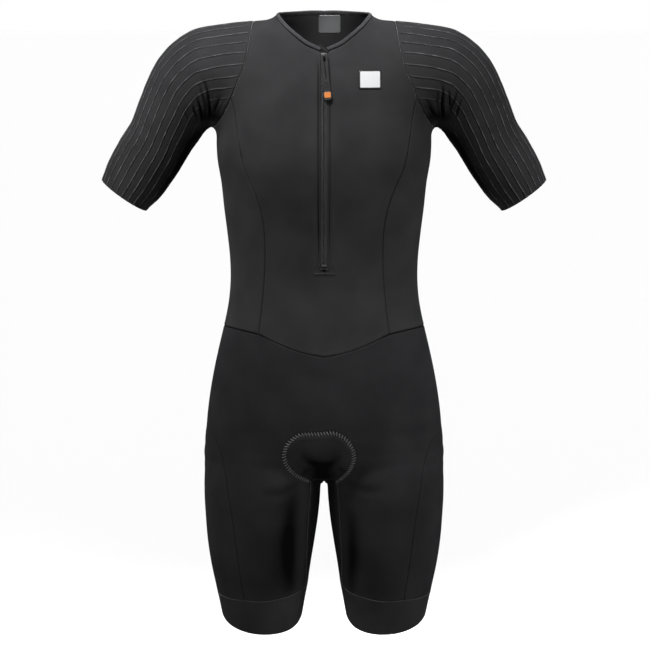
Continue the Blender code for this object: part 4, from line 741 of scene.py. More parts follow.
    def sleeve(self, near_rib: tuple[float, ...] = (0.045, 0.09, 0.155, 0.28),
               rows: int = 84) -> Net:
        """Sleeve, a closed ring of columns from the top round by the front.

        Each point of the armhole keeps its turn round the arm and its slice along it; down the
        sleeve both pass evenly to the cuff's level turns and to its one slice.

        Args:
            near_rib: places of the columns beside each rib, in shares of the rib spacing.
            rows: number of cells from the armhole to the cuff.

        Returns:
            The net, whose last column is its first again.
        """
        ribs = 24
        beside = np.array([-value for value in reversed(near_rib)] + [0.0, *near_rib, 0.5])
        columns = np.concatenate([[-0.5], *(rib + beside for rib in range(ribs))]) + 0.5
        names = ("armhole_front", "armhole_under", "-armhole_back")
        marks = (columns - 0.5) % ribs
        hole = self.along(names, marks)
        figure = self.figure
        station = figure.station_of(hole)
        place = figure.arm_place(station)
        along = ((hole[:, 0] - place.middle[:, 0]) * place.axis[:, 0]
                 + (hole[:, 2] - place.middle[:, 1]) * place.axis[:, 1])
        turn = np.unwrap(np.arctan2((place.centre_y - hole[:, 1]) / place.half_depth,
                                    along / place.half_height))
        cuff_turn = (columns - 0.5) * 2 * np.pi / ribs
        share = np.concatenate([[0, 0.0022, 0.0045, 0.008, 0.013], np.linspace(0.02, 0.992, rows),
                                [0.9965, 1.0]])[:, None]
        cuff_station = 12.0 * figure.stations_per_slice
        flat = figure.arm_place((station * (1 - share) + cuff_station * share).ravel())
        angle = turn * (1 - share) + cuff_turn * share
        reach = flat.half_height * np.cos(angle.ravel())
        points = np.stack([flat.middle[:, 0] + reach * flat.axis[:, 0],
                           flat.centre_y - flat.half_depth * np.sin(angle.ravel()),
                           flat.middle[:, 1] + reach * flat.axis[:, 1]], 1)
        points = figure.onto(points, rounds=4).reshape(len(share), len(columns), 3)
        points[0] = hole
        points[:, -1] = points[:, 0]
        return Net(points, self.seam_distance(points, (True, False, False, False)), True,
                   columns - 0.5, share[:, 0])


# ---------------------------------------------------------------- relief

@dataclass(frozen=True)
class Crease:
    """A soft fold along a line: a trough, a raised lip on each side, and painted shade in the
    trough.
    """

    path: tuple[tuple[float, float], ...]
    depth: float
    width: float
    face: Face = Face.FRONT
    lip: float = 0.5
    ends: float = 0.6
    painted_shade: float = 0.0

    def line(self, figure: Figure) -> np.ndarray:
        """The trough's line on the figure, from its places across and its heights."""
        path = np.array(self.path)
        knots = np.stack([path[:, 0], np.zeros(len(path)), path[:, 1]], 1)
        fine = curved(knots, 8)
        return figure.faced(fine[:, 0], fine[:, 2], self.face)

    def moves(self, figure: Figure, points: np.ndarray) -> tuple[np.ndarray, np.ndarray]:
        """How far the fold moves the cloth at each point, and the painted shade it lays there.

        The trough is a bell curve of the distance to the line; the lips are two bell curves beside
        it; all fade out towards the line's ends.

        Args:
            figure: the figure the cloth lies on.
            points: places on the cloth.

        Returns:
            The heights, negative in the trough, and the painted shade in the trough, from 0 to 1.
        """
        line = self.line(figure)
        near = (np.abs(points - line.mean(0)).max(1)
                < np.abs(line - line.mean(0)).max() + 4 * self.width)
        height, painted_shade = np.zeros(len(points)), np.zeros(len(points))
        if near.any():
            away, share = nearest_on(points[near], line)
            fade = np.sin(np.pi * np.clip(share, 0.004, 0.996)) ** self.ends
            lips = bump(away - 1.9 * self.width, 0.9 * self.width)
            trough = bump(away, self.width)
            height[near] = self.depth * fade * (self.lip * lips - trough)
            # painted shade: the trough is darkened by the set amount, and more the deeper it is
            painted_shade[near] = (self.painted_shade + self.depth / 0.003) * fade * trough
        return height, painted_shade


@dataclass(frozen=True)
class Groove:
    """A line of stitching that pulls the cloth in along it, with painted shade along the line."""

    line: np.ndarray
    depth: float
    width: float
    painted_shade: float = 0.5

    def pressed(self, points: np.ndarray) -> np.ndarray:
        """How much the line presses the cloth at each point, from 0 to 1."""
        near = (np.abs(points - self.line.mean(0)) < np.abs(self.line - self.line.mean(0)).max(0)
                + 5 * self.width).all(1)
        press = np.zeros(len(points))
        if near.any():
            away, share = nearest_on(points[near], self.line)
            press[near] = bump(away, self.width) * np.clip(np.minimum(share, 1 - share) / 0.1, 0, 1)
        return press


@dataclass(frozen=True)
class Tuck:
    """How cloth turns in along its sewn edges: a narrow trough behind a low rounded roll."""

    depth: float = 0.0007
    width: float = 0.0009
    roll: float = 0.00025
    roll_at: float = 0.0032
    roll_width: float = 0.0016

    def height(self, to_seam: np.ndarray) -> np.ndarray:
        """Height at a way from the nearest sewn edge."""
        return (self.roll * bump(to_seam - self.roll_at, self.roll_width)
                - self.depth * bump(to_seam, self.width))


@dataclass(frozen=True)
class Ribs:
    """Raised lines along a sleeve, one at each whole column, uneven in height."""

    height: float = 0.00085
    half_width: float = 0.00062
    groove: float = 0.00018
    unevenness: float = 0.34
    under_fade: float = 0.80
    sway: float = 0.0010

    def raised(self, net: Net) -> tuple[np.ndarray, np.ndarray, np.ndarray]:
        """Heights of a sleeve's ribs, how much each point is rib, and painted shade on their low
        sides.

        A rib is a bell curve of the distance to its column, which sways a little near the
        shoulder; its height is a sum of slow waves; a narrow groove with painted shade runs below
        it.

        Args:
            net: the sleeve's net, with its columns counted in ribs.

        Returns:
            The heights, the shares and the painted shade on the low sides, in the net's shape.
        """
        points, columns, share = net.points, net.columns_at, net.rows_at[:, None]
        run = np.cumsum(np.linalg.norm(np.diff(points, axis=1, prepend=points[:, :1]), axis=2), 1)
        rib = np.round(columns)
        middles = np.stack([np.interp(rib, columns, row) for row in run])
        sway = self.sway * np.exp(-share / 0.35) * (
            np.sin(17.0 * share + 1.9 * rib) + 0.6 * np.sin(41.0 * share - 0.7 * rib)) / 1.6
        away = run - middles - sway * np.clip(share / 0.03, 0, 1)
        swing = (np.sin(19.0 * share + 2.4 * rib) + np.sin(43.0 * share - 1.7 * rib)
                 + 0.6 * np.sin(97.0 * share + 0.9 * rib * rib)) / 2.6
        under = bump(np.abs(columns - 12.0), 3.4)[None] * np.clip(1 - share / 0.34, 0, 1) ** 0.7
        level = (1 + self.unevenness * swing) * (1 - self.under_fade * under)
        level = level * np.clip(share / 0.012, 0.25, 1)
        raised = bump(away, self.half_width)
        # painted shade: the lower side of each rib, which faces away from the light above
        below = bump(away - np.sign(12.0 - columns) * 2.0 * self.half_width, self.half_width)
        return (self.height * level * raised - self.groove * level * below, raised * level,
                below * level)


# ---------------------------------------------------------------- cloth pieces

@dataclass
class Cut:
    """Flat size of a piece of cloth as it was cut, and its share of that rectangle."""

    width: float
    length: float
    share: float = 1.0


@dataclass
class ClothPiece:
    """A piece of cloth: its nets, its relief, its finish and what it is sewn to."""

    name: str
    nets: list[Net]
    slot: str
    cut: Cut
    rests_on: tuple[str, ...]
    nodes: tuple[str, ...]
    thickness: float = 0.0012
    tuck: Tuck = field(default_factory=Tuck)
    creases: tuple[Crease, ...] = ()
    grooves: tuple[Groove, ...] = ()
    ribs: Ribs | None = None
    extra: Callable[[np.ndarray], np.ndarray] | None = None

    def relief(self, figure: Figure, net: Net, points: np.ndarray) -> dict[str, np.ndarray]:
        """Height of the cloth's face at a net's points, and the values its finish needs.

        Args:
            figure: the figure the cloth lies on.
            net: the net.
            points: its points, as one list.

        Returns:
            The height, the rib share and the painted shade of creases, grooves and ribs, by name.
        """
        height = self.tuck.height(net.to_seam.ravel())
        # painted shade, summed from the creases, grooves and the ribs' low sides
        fold = np.zeros(len(points))
        for crease in self.creases:
            moved, painted_shade = crease.moves(figure, points)
            height += moved
            fold += painted_shade
        for groove in self.grooves:
            press = groove.pressed(points)
            height -= groove.depth * press
            fold += groove.painted_shade * press
        rib = np.zeros(len(points))
        if self.ribs:
            raised, share, below = self.ribs.raised(net)
            height += raised.ravel()
            rib = share.ravel()
            # painted shade on the ribs' lower sides
            fold += 0.6 * below.ravel()
        if self.extra:
            height += self.extra(points)
        return {"height": height, "rib": rib, "fold": np.clip(fold, 0, 1)}

    def build(self, figure: Figure, material: bpy.types.Material) -> bpy.types.Object:
        """Make the piece's object and put it in its place on the suit.

        Args:
            figure: the figure the cloth lies on.
            material: its finish.

        Returns:
            The object.
        """
        corners, faces, weave, start = [], [], [], 0
        # fold carries the painted shade to the finish
        values = {"to_seam": [], "rib": [], "fold": []}
        for net in self.nets:
            points = net.points.reshape(-1, 3)
            found = self.relief(figure, net, points)
            corners.append(points + figure.outward(points) * found["height"][:, None])
            faces.append(net_faces(net.points.shape[:2], net.turned) + start)
            values["to_seam"].append(net.to_seam.ravel())
            values["rib"].append(found["rib"])
            values["fold"].append(found["fold"])
            weave.append(weave_of(net.points))
            start += len(points)
        mesh = mesh_of(self.name, np.concatenate(corners), np.concatenate(faces))
        for name, parts in values.items():
            add_values(mesh, name, np.concatenate(parts))
        add_vectors(mesh, "weave", np.concatenate(weave))
        welded(mesh)
        mesh.shade_smooth()
        piece = placed(self.name, mesh, material, self.slot, "suit", *self.nodes)
        add_wall(piece, self.thickness)
        self.cut.width * self.cut.length * self.cut.share
        return piece


def weave_of(points: np.ndarray) -> np.ndarray:
    """Metres along the cloth's rows and columns at each point of a net, for its knit."""
    across = np.cumsum(np.linalg.norm(np.diff(points, axis=1, prepend=points[:, :1]), axis=2), 1)
    along = np.cumsum(np.linalg.norm(np.diff(points, axis=0, prepend=points[:1]), axis=2), 0)
    middle = points.shape[1] // 2
    level = np.broadcast_to(along[:, middle:middle + 1], across.shape)
    return np.stack([across.ravel(), level.ravel(), np.zeros(across.size)], 1)


def net_faces(shape: tuple[int, int], turned: bool) -> np.ndarray:
    """Four corners of each cell of a net, wound so that the cells face outwards."""
    ids = np.arange(shape[0] * shape[1]).reshape(shape)
    a, b, c, d = ids[:-1, :-1], ids[1:, :-1], ids[1:, 1:], ids[:-1, 1:]
    order = (a, d, c, b) if turned else (a, b, c, d)
    return np.stack([part.ravel() for part in order], 1)


def mesh_of(name: str, corners: np.ndarray, faces: np.ndarray) -> bpy.types.Mesh:
    """Mesh from an array of corners and an array of faces that all have as many sides."""
    mesh = bpy.data.meshes.new(name)
    count, sides = faces.shape
    mesh.vertices.add(len(corners))
    mesh.vertices.foreach_set("co", corners.astype(np.float32).ravel())
    mesh.loops.add(count * sides)
    mesh.loops.foreach_set("vertex_index", faces.astype(np.int32).ravel())
    mesh.polygons.add(count)
    mesh.polygons.foreach_set("loop_start", np.arange(count, dtype=np.int32) * sides)
    mesh.update(calc_edges=True)
    mesh.validate()
    return mesh


def add_values(mesh: bpy.types.Mesh, name: str, values: np.ndarray) -> None:
    """Store one number for each corner of a mesh."""
    mesh.attributes.new(name, "FLOAT", "POINT").data.foreach_set("value", values.astype(np.float32))


def add_vectors(mesh: bpy.types.Mesh, name: str, values: np.ndarray) -> None:
    """Store one vector for each corner of a mesh."""
    store = mesh.attributes.new(name, "FLOAT_VECTOR", "POINT")
    store.data.foreach_set("vector", values.astype(np.float32).ravel())


def corners_of(mesh: bpy.types.Mesh) -> np.ndarray:
    """A mesh's corners."""
    found = np.empty(len(mesh.vertices) * 3)
    mesh.vertices.foreach_get("co", found)
    return found.reshape(-1, 3)


@contextmanager
def opened(mesh: bpy.types.Mesh) -> Iterator[bmesh.types.BMesh]:
    """A mesh opened for changes to its faces, and written back after them."""
    work = bmesh.new()
    work.from_mesh(mesh)
    yield work
    work.to_mesh(mesh)
    work.free()


def welded(mesh: bpy.types.Mesh, within: float = 2e-5) -> None:
    """Join the corners of a mesh that lie in one place."""
    with opened(mesh) as work:
        bmesh.ops.remove_doubles(work, verts=work.verts, dist=within)


def turned_outwards(mesh: bpy.types.Mesh) -> None:
    """Turn the faces of a closed mesh outwards."""
    with opened(mesh) as work:
        bmesh.ops.recalc_face_normals(work, faces=work.faces)


def add_wall(piece: bpy.types.Object, thickness: float) -> None:
    """Give a sheet its wall, inwards from its face."""
    wall = piece.modifiers.new("wall", "SOLIDIFY")
    wall.thickness = thickness
    wall.offset = -1.0


def placed(name: str, mesh: bpy.types.Mesh, material: bpy.types.Material, slot: str, body: str,
           *nodes: str) -> bpy.types.Object:
    """Put a mesh in the scene as a piece of the suit.

    Args:
        name: the piece's name.
        mesh: its shape.
        material: its finish.
        slot: the record's material slot; not used.
        body: the body it moves with.
        nodes: CAD nodes that it stands for.

    Returns:
        The object.
    """
    mesh.name = name
    mesh.materials.clear()
    mesh.materials.append(material)
    piece = bpy.data.objects.new(name, mesh)
    bpy.context.scene.collection.objects.link(piece)
    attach(piece, body)
    if nodes:
        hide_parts(*nodes)
    LOG.info("%s: %d faces, on %s", name, len(mesh.polygons), body)
    return piece


# ---------------------------------------------------------------- finishes

Number = float | int
Colour = tuple[float, float, float]


class Value:
    """A number worked out in a material, with arithmetic that adds Math nodes."""

    def __init__(self, tree: bpy.types.NodeTree, socket: bpy.types.NodeSocket) -> None:
        """Wrap an output socket of a tree."""
        self.tree = tree
        self.socket = socket

    def _maths(self, operation: str, *inputs: "Value | Number") -> "Value":
        """One Math node on some inputs."""
        node = self.tree.nodes.new("ShaderNodeMath")
        node.operation = operation
        for place, given in enumerate(inputs):
            if isinstance(given, Value):
                self.tree.links.new(given.socket, node.inputs[place])
            else:
                node.inputs[place].default_value = given
        return Value(self.tree, node.outputs[0])

    def __add__(self, other: "Value | Number") -> "Value":
        """Sum."""
        return self._maths("ADD", self, other)

    __radd__ = __add__

    def __sub__(self, other: "Value | Number") -> "Value":
        """Difference."""
        return self._maths("SUBTRACT", self, other)

    def __rsub__(self, other: Number) -> "Value":
        """Difference, the other way round."""
        return self._maths("SUBTRACT", other, self)

    def __mul__(self, other: "Value | Number") -> "Value":
        """Product."""
        return self._maths("MULTIPLY", self, other)

    __rmul__ = __mul__

    def __truediv__(self, other: "Value | Number") -> "Value":
        """Quotient."""
        return self._maths("DIVIDE", self, other)

    def __pow__(self, other: "Value | Number") -> "Value":
        """Power."""
        return self._maths("POWER", self, other)

    def sine(self) -> "Value":
        """Sine."""
        return self._maths("SINE", self)

    def least(self, other: "Value | Number") -> "Value":
        """The lower of two."""
        return self._maths("MINIMUM", self, other)

    def most(self, other: "Value | Number") -> "Value":
        """The higher of two."""
        return self._maths("MAXIMUM", self, other)

    def bell(self, reach: float) -> "Value":
        """Bell curve of the value over its reach: 1 at 0, and soon 0 beyond."""
        return self._maths("EXPONENT", (self / reach) ** 2 * -1)

    def step(self, low: float, high: float) -> "Value":
        """Smooth step from 0 at the low end to 1 at the high end."""
        node = self.tree.nodes.new("ShaderNodeMapRange")
        node.interpolation_type = "SMOOTHSTEP"
        self.tree.links.new(self.socket, node.inputs["Value"])
        node.inputs["From Min"].default_value = low
        node.inputs["From Max"].default_value = high
        return Value(self.tree, node.outputs["Result"])


@dataclass
class Shading:
    """A material's node tree, and the ways its patterns are made."""

    name: str
    material: bpy.types.Material = field(init=False)
    tree: bpy.types.NodeTree = field(init=False)
    shader: bpy.types.ShaderNode = field(init=False)

    def __post_init__(self) -> None:
        """Start a material with one shader."""
        self.material = bpy.data.materials.new(self.name)
        self.material.use_nodes = True
        self.tree = self.material.node_tree
        self.shader = self.tree.nodes["Principled BSDF"]

    def node(self, kind: str, settings: dict[str, object] | None = None,
             **inputs: object) -> bpy.types.Node:
        """Any other node.

        Args:
            kind: its type.
            settings: its own properties, set first.
            inputs: numbers, tuples, values or sockets for its inputs, with _ for a space.

        Returns:
            The node.
        """
        node = self.tree.nodes.new(kind)
        for key, setting in (settings or {}).items():
            setattr(node, key, setting)
        for key, given in inputs.items():
            socket = node.inputs[key.replace("_", " ")]
            if isinstance(given, Value):
                self.tree.links.new(given.socket, socket)
            elif isinstance(given, bpy.types.NodeSocket):
                self.tree.links.new(given, socket)
            else:
                socket.default_value = given
        return node

    def attribute(self, name: str) -> Value:
        """A number stored on the mesh."""
        node = self.node("ShaderNodeAttribute", {"attribute_name": name})
        return Value(self.tree, node.outputs["Fac"])

    def weave(self) -> tuple[Value, Value]:
        """Metres across and along the cloth."""
        stored = self.node("ShaderNodeAttribute", {"attribute_name": "weave"})
        split = self.node("ShaderNodeSeparateXYZ", Vector=stored.outputs["Vector"])
        return Value(self.tree, split.outputs["X"]), Value(self.tree, split.outputs["Y"])

    def place(self) -> tuple[Value, Value, Value]:
        """Object coordinates, in metres."""
        split = self.node("ShaderNodeSeparateXYZ", Vector=self.coordinates())
        return tuple(Value(self.tree, split.outputs[axis]) for axis in "XYZ")

    def coordinates(self) -> bpy.types.NodeSocket:
        """Object coordinates, as a vector."""
        return self.node("ShaderNodeTexCoord").outputs["Object"]

    def noise(self, grain: float, detail: float = 2.0, stretch: Colour = (1.0, 1.0, 1.0),
              rough: float = 0.5) -> Value:
        """Smooth noise whose grains have a size in metres."""
        mapped = self.node("ShaderNodeMapping", Vector=self.coordinates(), Scale=stretch)
        node = self.node("ShaderNodeTexNoise", Vector=mapped.outputs["Vector"], Scale=1 / grain,
                         Detail=detail, Roughness=rough)
        return Value(self.tree, node.outputs["Fac"])

    def mixed(self, share: Value, low: Colour | bpy.types.NodeSocket,
              high: Colour | bpy.types.NodeSocket) -> bpy.types.NodeSocket:
        """Colour between two, by a share from 0 to 1."""
        node = self.tree.nodes.new("ShaderNodeMix")
        node.data_type = "RGBA"
        self.tree.links.new(share.socket, node.inputs[0])
        for place, given in ((6, low), (7, high)):
            if isinstance(given, bpy.types.NodeSocket):
                self.tree.links.new(given, node.inputs[place])
            else:
                node.inputs[place].default_value = (*given, 1.0)
        return node.outputs[2]

    def colour(self, socket: bpy.types.NodeSocket) -> None:
        """Feed the base colour."""
        self.tree.links.new(socket, self.shader.inputs["Base Color"])

    def roughness(self, value: Value) -> None:
        """Feed the roughness."""
        self.tree.links.new(value.socket, self.shader.inputs["Roughness"])

    def relief(self, height: Value, depth: float, strength: float = 1.0) -> None:
        """Feed the bump with a height from 0 to 1 that stands for a depth in metres."""
        bump_node = self.node("ShaderNodeBump", Height=height, Distance=depth, Strength=strength)
        self.tree.links.new(bump_node.outputs["Normal"], self.shader.inputs["Normal"])

    def set(self, **inputs: object) -> None:
        """Set constants on the shader's own sockets, with _ for a space."""
        for key, given in inputs.items():
            self.shader.inputs[key.replace("_", " ")].default_value = given


@dataclass(frozen=True)
class Finish:
    """A finish of the suit; each kind says how it shades its material."""

    def shade(self, shading: Shading) -> None:
        """Give a material its colours, roughness and fine relief."""
        raise NotImplementedError

    def material(self, name: str) -> bpy.types.Material:
        """Make the material.

        Args:
            name: its name.

        Returns:
            The material.
        """
        shading = Shading(name)
        self.shade(shading)
        return shading.material


@dataclass(frozen=True)
class Knit(Finish):
    """Stretch knit: rows of fine loops, a soft grain and a faint sheen."""

    dark: Colour
    light: Colour
    roughness: float = 0.78
    sheen: float = 0.002
    wale: float = 0.00085
    course: float = 0.00070
    loop_depth: float = 0.00009
    seam_shade: float = 0.30
    # colour of a painted highlight on the ribs' crests
    rib_highlight: Colour | None = None

    def shade(self, shading: Shading) -> None:
        """Loops in wales and courses; painted highlight on ribs; painted shade in seams and hollows.
        """
        across, along = shading.weave()
        wales = (across * (2 * math.pi / self.wale)).sine()
        courses = ((along + wales * (self.course * 0.22)) * (2 * math.pi / self.course)).sine()
        loops = (wales * 0.5 + 0.5) * 0.6 + (courses * 0.5 + 0.5) * 0.4
        grain = shading.noise(0.0011, 3.0, rough=0.65)
        cloudy = shading.noise(0.045, 2.0)
        tone = (grain - 0.5) * 0.75 + (cloudy - 0.5) * 0.9 + 0.5 + (loops - 0.5) * 0.25
        colour = shading.mixed(tone.most(0).least(1), self.dark, self.light)
        # painted highlight: the ribs' crests lighten, in patches, towards a paler colour
        if self.rib_highlight:
            rib = shading.attribute("rib").most(0).least(1)
            highlight_patches = shading.noise(0.011, 3.0).step(0.36, 0.66) * 0.75 + 0.25
            colour = shading.mixed(rib ** 1.5 * highlight_patches, colour, self.rib_highlight)
        # painted shade: darker towards near black at the seam grooves and by the fold values of
        # creases, grooves and hollows
        pressed = shading.attribute("to_seam").bell(0.0009) * self.seam_shade
        deep = shading.attribute("fold").most(0).least(1) * 0.92
        colour = shading.mixed((pressed + deep).least(0.95), colour, (0.0004, 0.0004, 0.0004))
        shading.colour(colour)
        shading.roughness(grain * 0.12 + (self.roughness - 0.06))
        shading.relief(loops * 0.8 + grain * 0.5, self.loop_depth)
        shading.set(Sheen_Weight=self.sheen, Sheen_Roughness=0.45,
                    Sheen_Tint=(0.75, 0.78, 0.84, 1.0), Specular_IOR_Level=0.0)


@dataclass(frozen=True)
class Moulded(Finish):
    """Moulded plastic, rubber or metal: a grained face with cloudy patches."""

    dark: Colour
    light: Colour
    roughness: float = 0.45
    metallic: float = 0.0
    grain: float = 0.0006
    depth: float = 0.00003
    specular: float = 0.5

    def shade(self, shading: Shading) -> None:
        """A fine grain with cloudy patches."""
        grain = shading.noise(self.grain, 3.0)
        cloud = shading.noise(self.grain * 9, 2.0)
        tone = (grain - 0.5) * 0.8 + (cloud - 0.5) * 1.2 + 0.5
        shading.colour(shading.mixed(tone.most(0).least(1), self.dark, self.light))
        shading.roughness(cloud * 0.2 + (self.roughness - 0.1))
        shading.relief(grain, self.depth)
        shading.set(Metallic=self.metallic, Specular_IOR_Level=self.specular)


@dataclass(frozen=True)
class Thread(Finish):
    """Twisted sewing thread: slanting plies along each stitch."""

    dark: Colour
    light: Colour
    ply: float = 0.0004

    def shade(self, shading: Shading) -> None:
        """Plies that slant across each stitch."""
        x, y, z = shading.place()
        plies = ((x + y * 0.6 + z * 0.8) * (2 * math.pi / self.ply)).sine() * 0.5 + 0.5
        fuzz = shading.noise(0.0008, 2.0)
        shading.colour(shading.mixed((plies * 0.6 + fuzz * 0.4).least(1), self.dark, self.light))
        shading.roughness(fuzz * 0.2 + 0.55)
        shading.relief(plies, 0.00006)
        shading.set(Sheen_Weight=0.03, Sheen_Roughness=0.4, Specular_IOR_Level=0.15)


# ---------------------------------------------------------------- forms for trims

def unit(vectors: np.ndarray) -> np.ndarray:
    """Vectors brought to a length of 1."""
    return vectors / np.maximum(np.linalg.norm(vectors, axis=-1, keepdims=True), 1e-12)


@dataclass(frozen=True)
class Stitch:
    """Shape of one stitch: a thread that rises out of the cloth and dips back into it."""

    length: float = 0.0024
    gap: float = 0.0006
    radius: float = 0.00026
    rise: float = 0.0002
    sides: int = 6

    def rings(self) -> tuple[np.ndarray, np.ndarray, np.ndarray]:
        """Shares along a stitch, with its thickness and its rise there."""
        share = np.array([0.0, 0.12, 0.34, 0.66, 0.88, 1.0])
        arch = np.sin(np.pi * share)
        return share, 0.35 + 0.65 * arch ** 0.5, arch

    def mesh(self, name: str, starts: np.ndarray, ends: np.ndarray,
             normals: np.ndarray) -> bpy.types.Mesh:
        """All stitches as one mesh: rings of corners round straight runs with a low arch.

        Args:
            name: the mesh's name.
            starts: first end of each stitch.
            ends: last end of each.
            normals: way out of the cloth at each.

        Returns:
            The mesh.
        """
        share, thick, arch = self.rings()
        along = ends - starts
        side = unit(np.cross(unit(along), normals))
        out = unit(normals)
        turn = np.arange(self.sides) * 2 * np.pi / self.sides
        centre = (starts[:, None] + along[:, None] * share[None, :, None]
                  + out[:, None] * (self.rise * arch)[None, :, None])
        across = np.cos(turn)[None, :] * (self.radius * thick)[:, None]
        up = np.sin(turn)[None, :] * (self.radius * thick)[:, None]
        corners = (centre[:, :, None] + side[:, None, None] * across[None, :, :, None]
                   + out[:, None, None] * up[None, :, :, None])
        count, rings, sides = corners.shape[:3]
        ids = np.arange(count * rings * sides).reshape(count, rings, sides)
        a, b = ids[:, :-1], np.roll(ids, -1, 2)[:, :-1]
        faces = np.stack([part.ravel() for part in (a, b, b + sides, a + sides)], 1)
        mesh = mesh_of(name, corners.reshape(-1, 3), faces)
        mesh.shade_smooth()
        return mesh

    def along_line(self, line: np.ndarray) -> tuple[np.ndarray, np.ndarray]:
        """Starts and ends of stitches that follow a line."""
        run = run_of(line)
        pitch = self.length + self.gap
        starts = np.arange(0.4 * self.gap, run[-1] - self.length, pitch)
        at = [np.stack([np.interp(places, run, line[:, axis]) for axis in range(3)], 1)
              for places in (starts, np.minimum(starts + self.length, run[-1]))]
        return at[0], at[1]


def swept(name: str, path: np.ndarray, normals: np.ndarray,
          section: np.ndarray) -> bpy.types.Mesh:
    """Closed form swept along an open path.

    At each point of the path the section's first coordinate lies along the side, which is square
    to the path and the normal, and its second along the normal.

    Args:
        name: the mesh's name.
        path: points of the path.
        normals: way out at each.
        section: closed outline, two coordinates for each corner.

    Returns:
        The mesh, with flat ends.
    """
    along = unit(np.gradient(path, axis=0))
    side = unit(np.cross(along, normals))
    out = unit(np.cross(side, along))
    corners = (path[:, None] + side[:, None] * section[None, :, :1]
               + out[:, None] * section[None, :, 1:])
    count, ring = corners.shape[:2]
    ids = np.arange(count * ring).reshape(count, ring)
    rows, following = ids[:-1], ids[1:]
    order = (rows, np.roll(rows, -1, 1), np.roll(following, -1, 1), following)
    faces = np.stack([part.ravel() for part in order], 1)
    mesh = mesh_of(name, corners.reshape(-1, 3), faces)
    capped(mesh)
    mesh.shade_smooth()
    return mesh


def capped(mesh: bpy.types.Mesh) -> None:
    """Close the open ends of a mesh and turn its faces outwards."""
    with opened(mesh) as work:
        bmesh.ops.holes_fill(work, edges=[edge for edge in work.edges if edge.is_boundary],
                             sides=0)
        bmesh.ops.recalc_face_normals(work, faces=work.faces)


def rounded_outline(width: float, height: float, radius: float, steps: int = 6) -> np.ndarray:
    """Outline of a box with round corners, about the origin."""
    starts = np.radians([0, 90, 180, 270])
    angles = starts[:, None] + np.linspace(0, np.pi / 2, steps + 1)[None]
    signs = np.array([(1, 1), (-1, 1), (-1, -1), (1, -1)])
    middles = signs * (np.array([width, height]) / 2 - radius)
    turns = np.stack([np.cos(angles), np.sin(angles)], 2)
    return (middles[:, None] + radius * turns).reshape(-1, 2)


@dataclass(frozen=True)
class Axes:
    """A frame: its origin, and its right, up and out directions."""

    origin: np.ndarray
    right: np.ndarray
    up: np.ndarray
    out: np.ndarray

    @classmethod
    def of(cls, origin: np.ndarray, right: np.ndarray, up: np.ndarray) -> "Axes":
        """Frame with exact up, right squared to it, and out from the two."""
        up = unit(np.asarray(up, float))
        right = unit(right - up * (right @ up))
        return cls(np.asarray(origin, float), right, up, np.cross(right, up))

    def world(self, local: np.ndarray) -> np.ndarray:
        """Places in the scene of places in the frame."""
        return (self.origin + local[..., :1] * self.right + local[..., 1:2] * self.up
                + local[..., 2:3] * self.out)


def plate(name: str, outlines: Sequence[np.ndarray], half_thick: float, edge: float,
          axes: Axes, lift: float = 0.0) -> bpy.types.Mesh:
    """Flat plate with rounded edges: outlines filled, the inner ones as holes.

    Args:
        name: the mesh's name.
        outlines: closed outlines on the frame's right and up.
        half_thick: half of its thickness.
        edge: radius of its rounded edges.
        axes: its frame.
        lift: how far its middle stands out of the frame's plane.

    Returns:
        The mesh, in the scene's place.
    """
    curve = bpy.data.curves.new(name, "CURVE")
    curve.dimensions = "2D"
    curve.fill_mode = "BOTH"
    curve.extrude = half_thick - edge
    curve.bevel_depth = edge
    curve.bevel_resolution = 3
    curve.offset = -edge
    for outline in outlines:
        spline = curve.splines.new("POLY")
        spline.points.add(len(outline) - 1)
        flat = np.zeros((len(outline), 4))
        flat[:, :2] = outline
        flat[:, 3] = 1
        spline.points.foreach_set("co", flat.ravel())
        spline.use_cyclic_u = True
    holder = bpy.data.objects.new(name, curve)
    bpy.context.scene.collection.objects.link(holder)
    bpy.context.view_layer.update()
    evaluated = holder.evaluated_get(bpy.context.evaluated_depsgraph_get())
    mesh = bpy.data.meshes.new_from_object(evaluated)
    bpy.data.objects.remove(holder, do_unlink=True)
    welded(mesh, 1e-6)
    local = corners_of(mesh) + np.array([0.0, 0.0, lift])
    mesh.vertices.foreach_set("co", axes.world(local).astype(np.float32).ravel())
    mesh.update()
    mesh.shade_smooth()
    mesh.set_sharp_from_angle(angle=SHARP_ANGLE)
    return mesh


def joined_mesh(name: str, meshes: Sequence[bpy.types.Mesh]) -> bpy.types.Mesh:
    """Several meshes as one."""
    work = bmesh.new()
    for mesh in meshes:
        work.from_mesh(mesh)
    whole = bpy.data.meshes.new(name)
    work.to_mesh(whole)
    work.free()
    return whole


# ---------------------------------------------------------------- zip

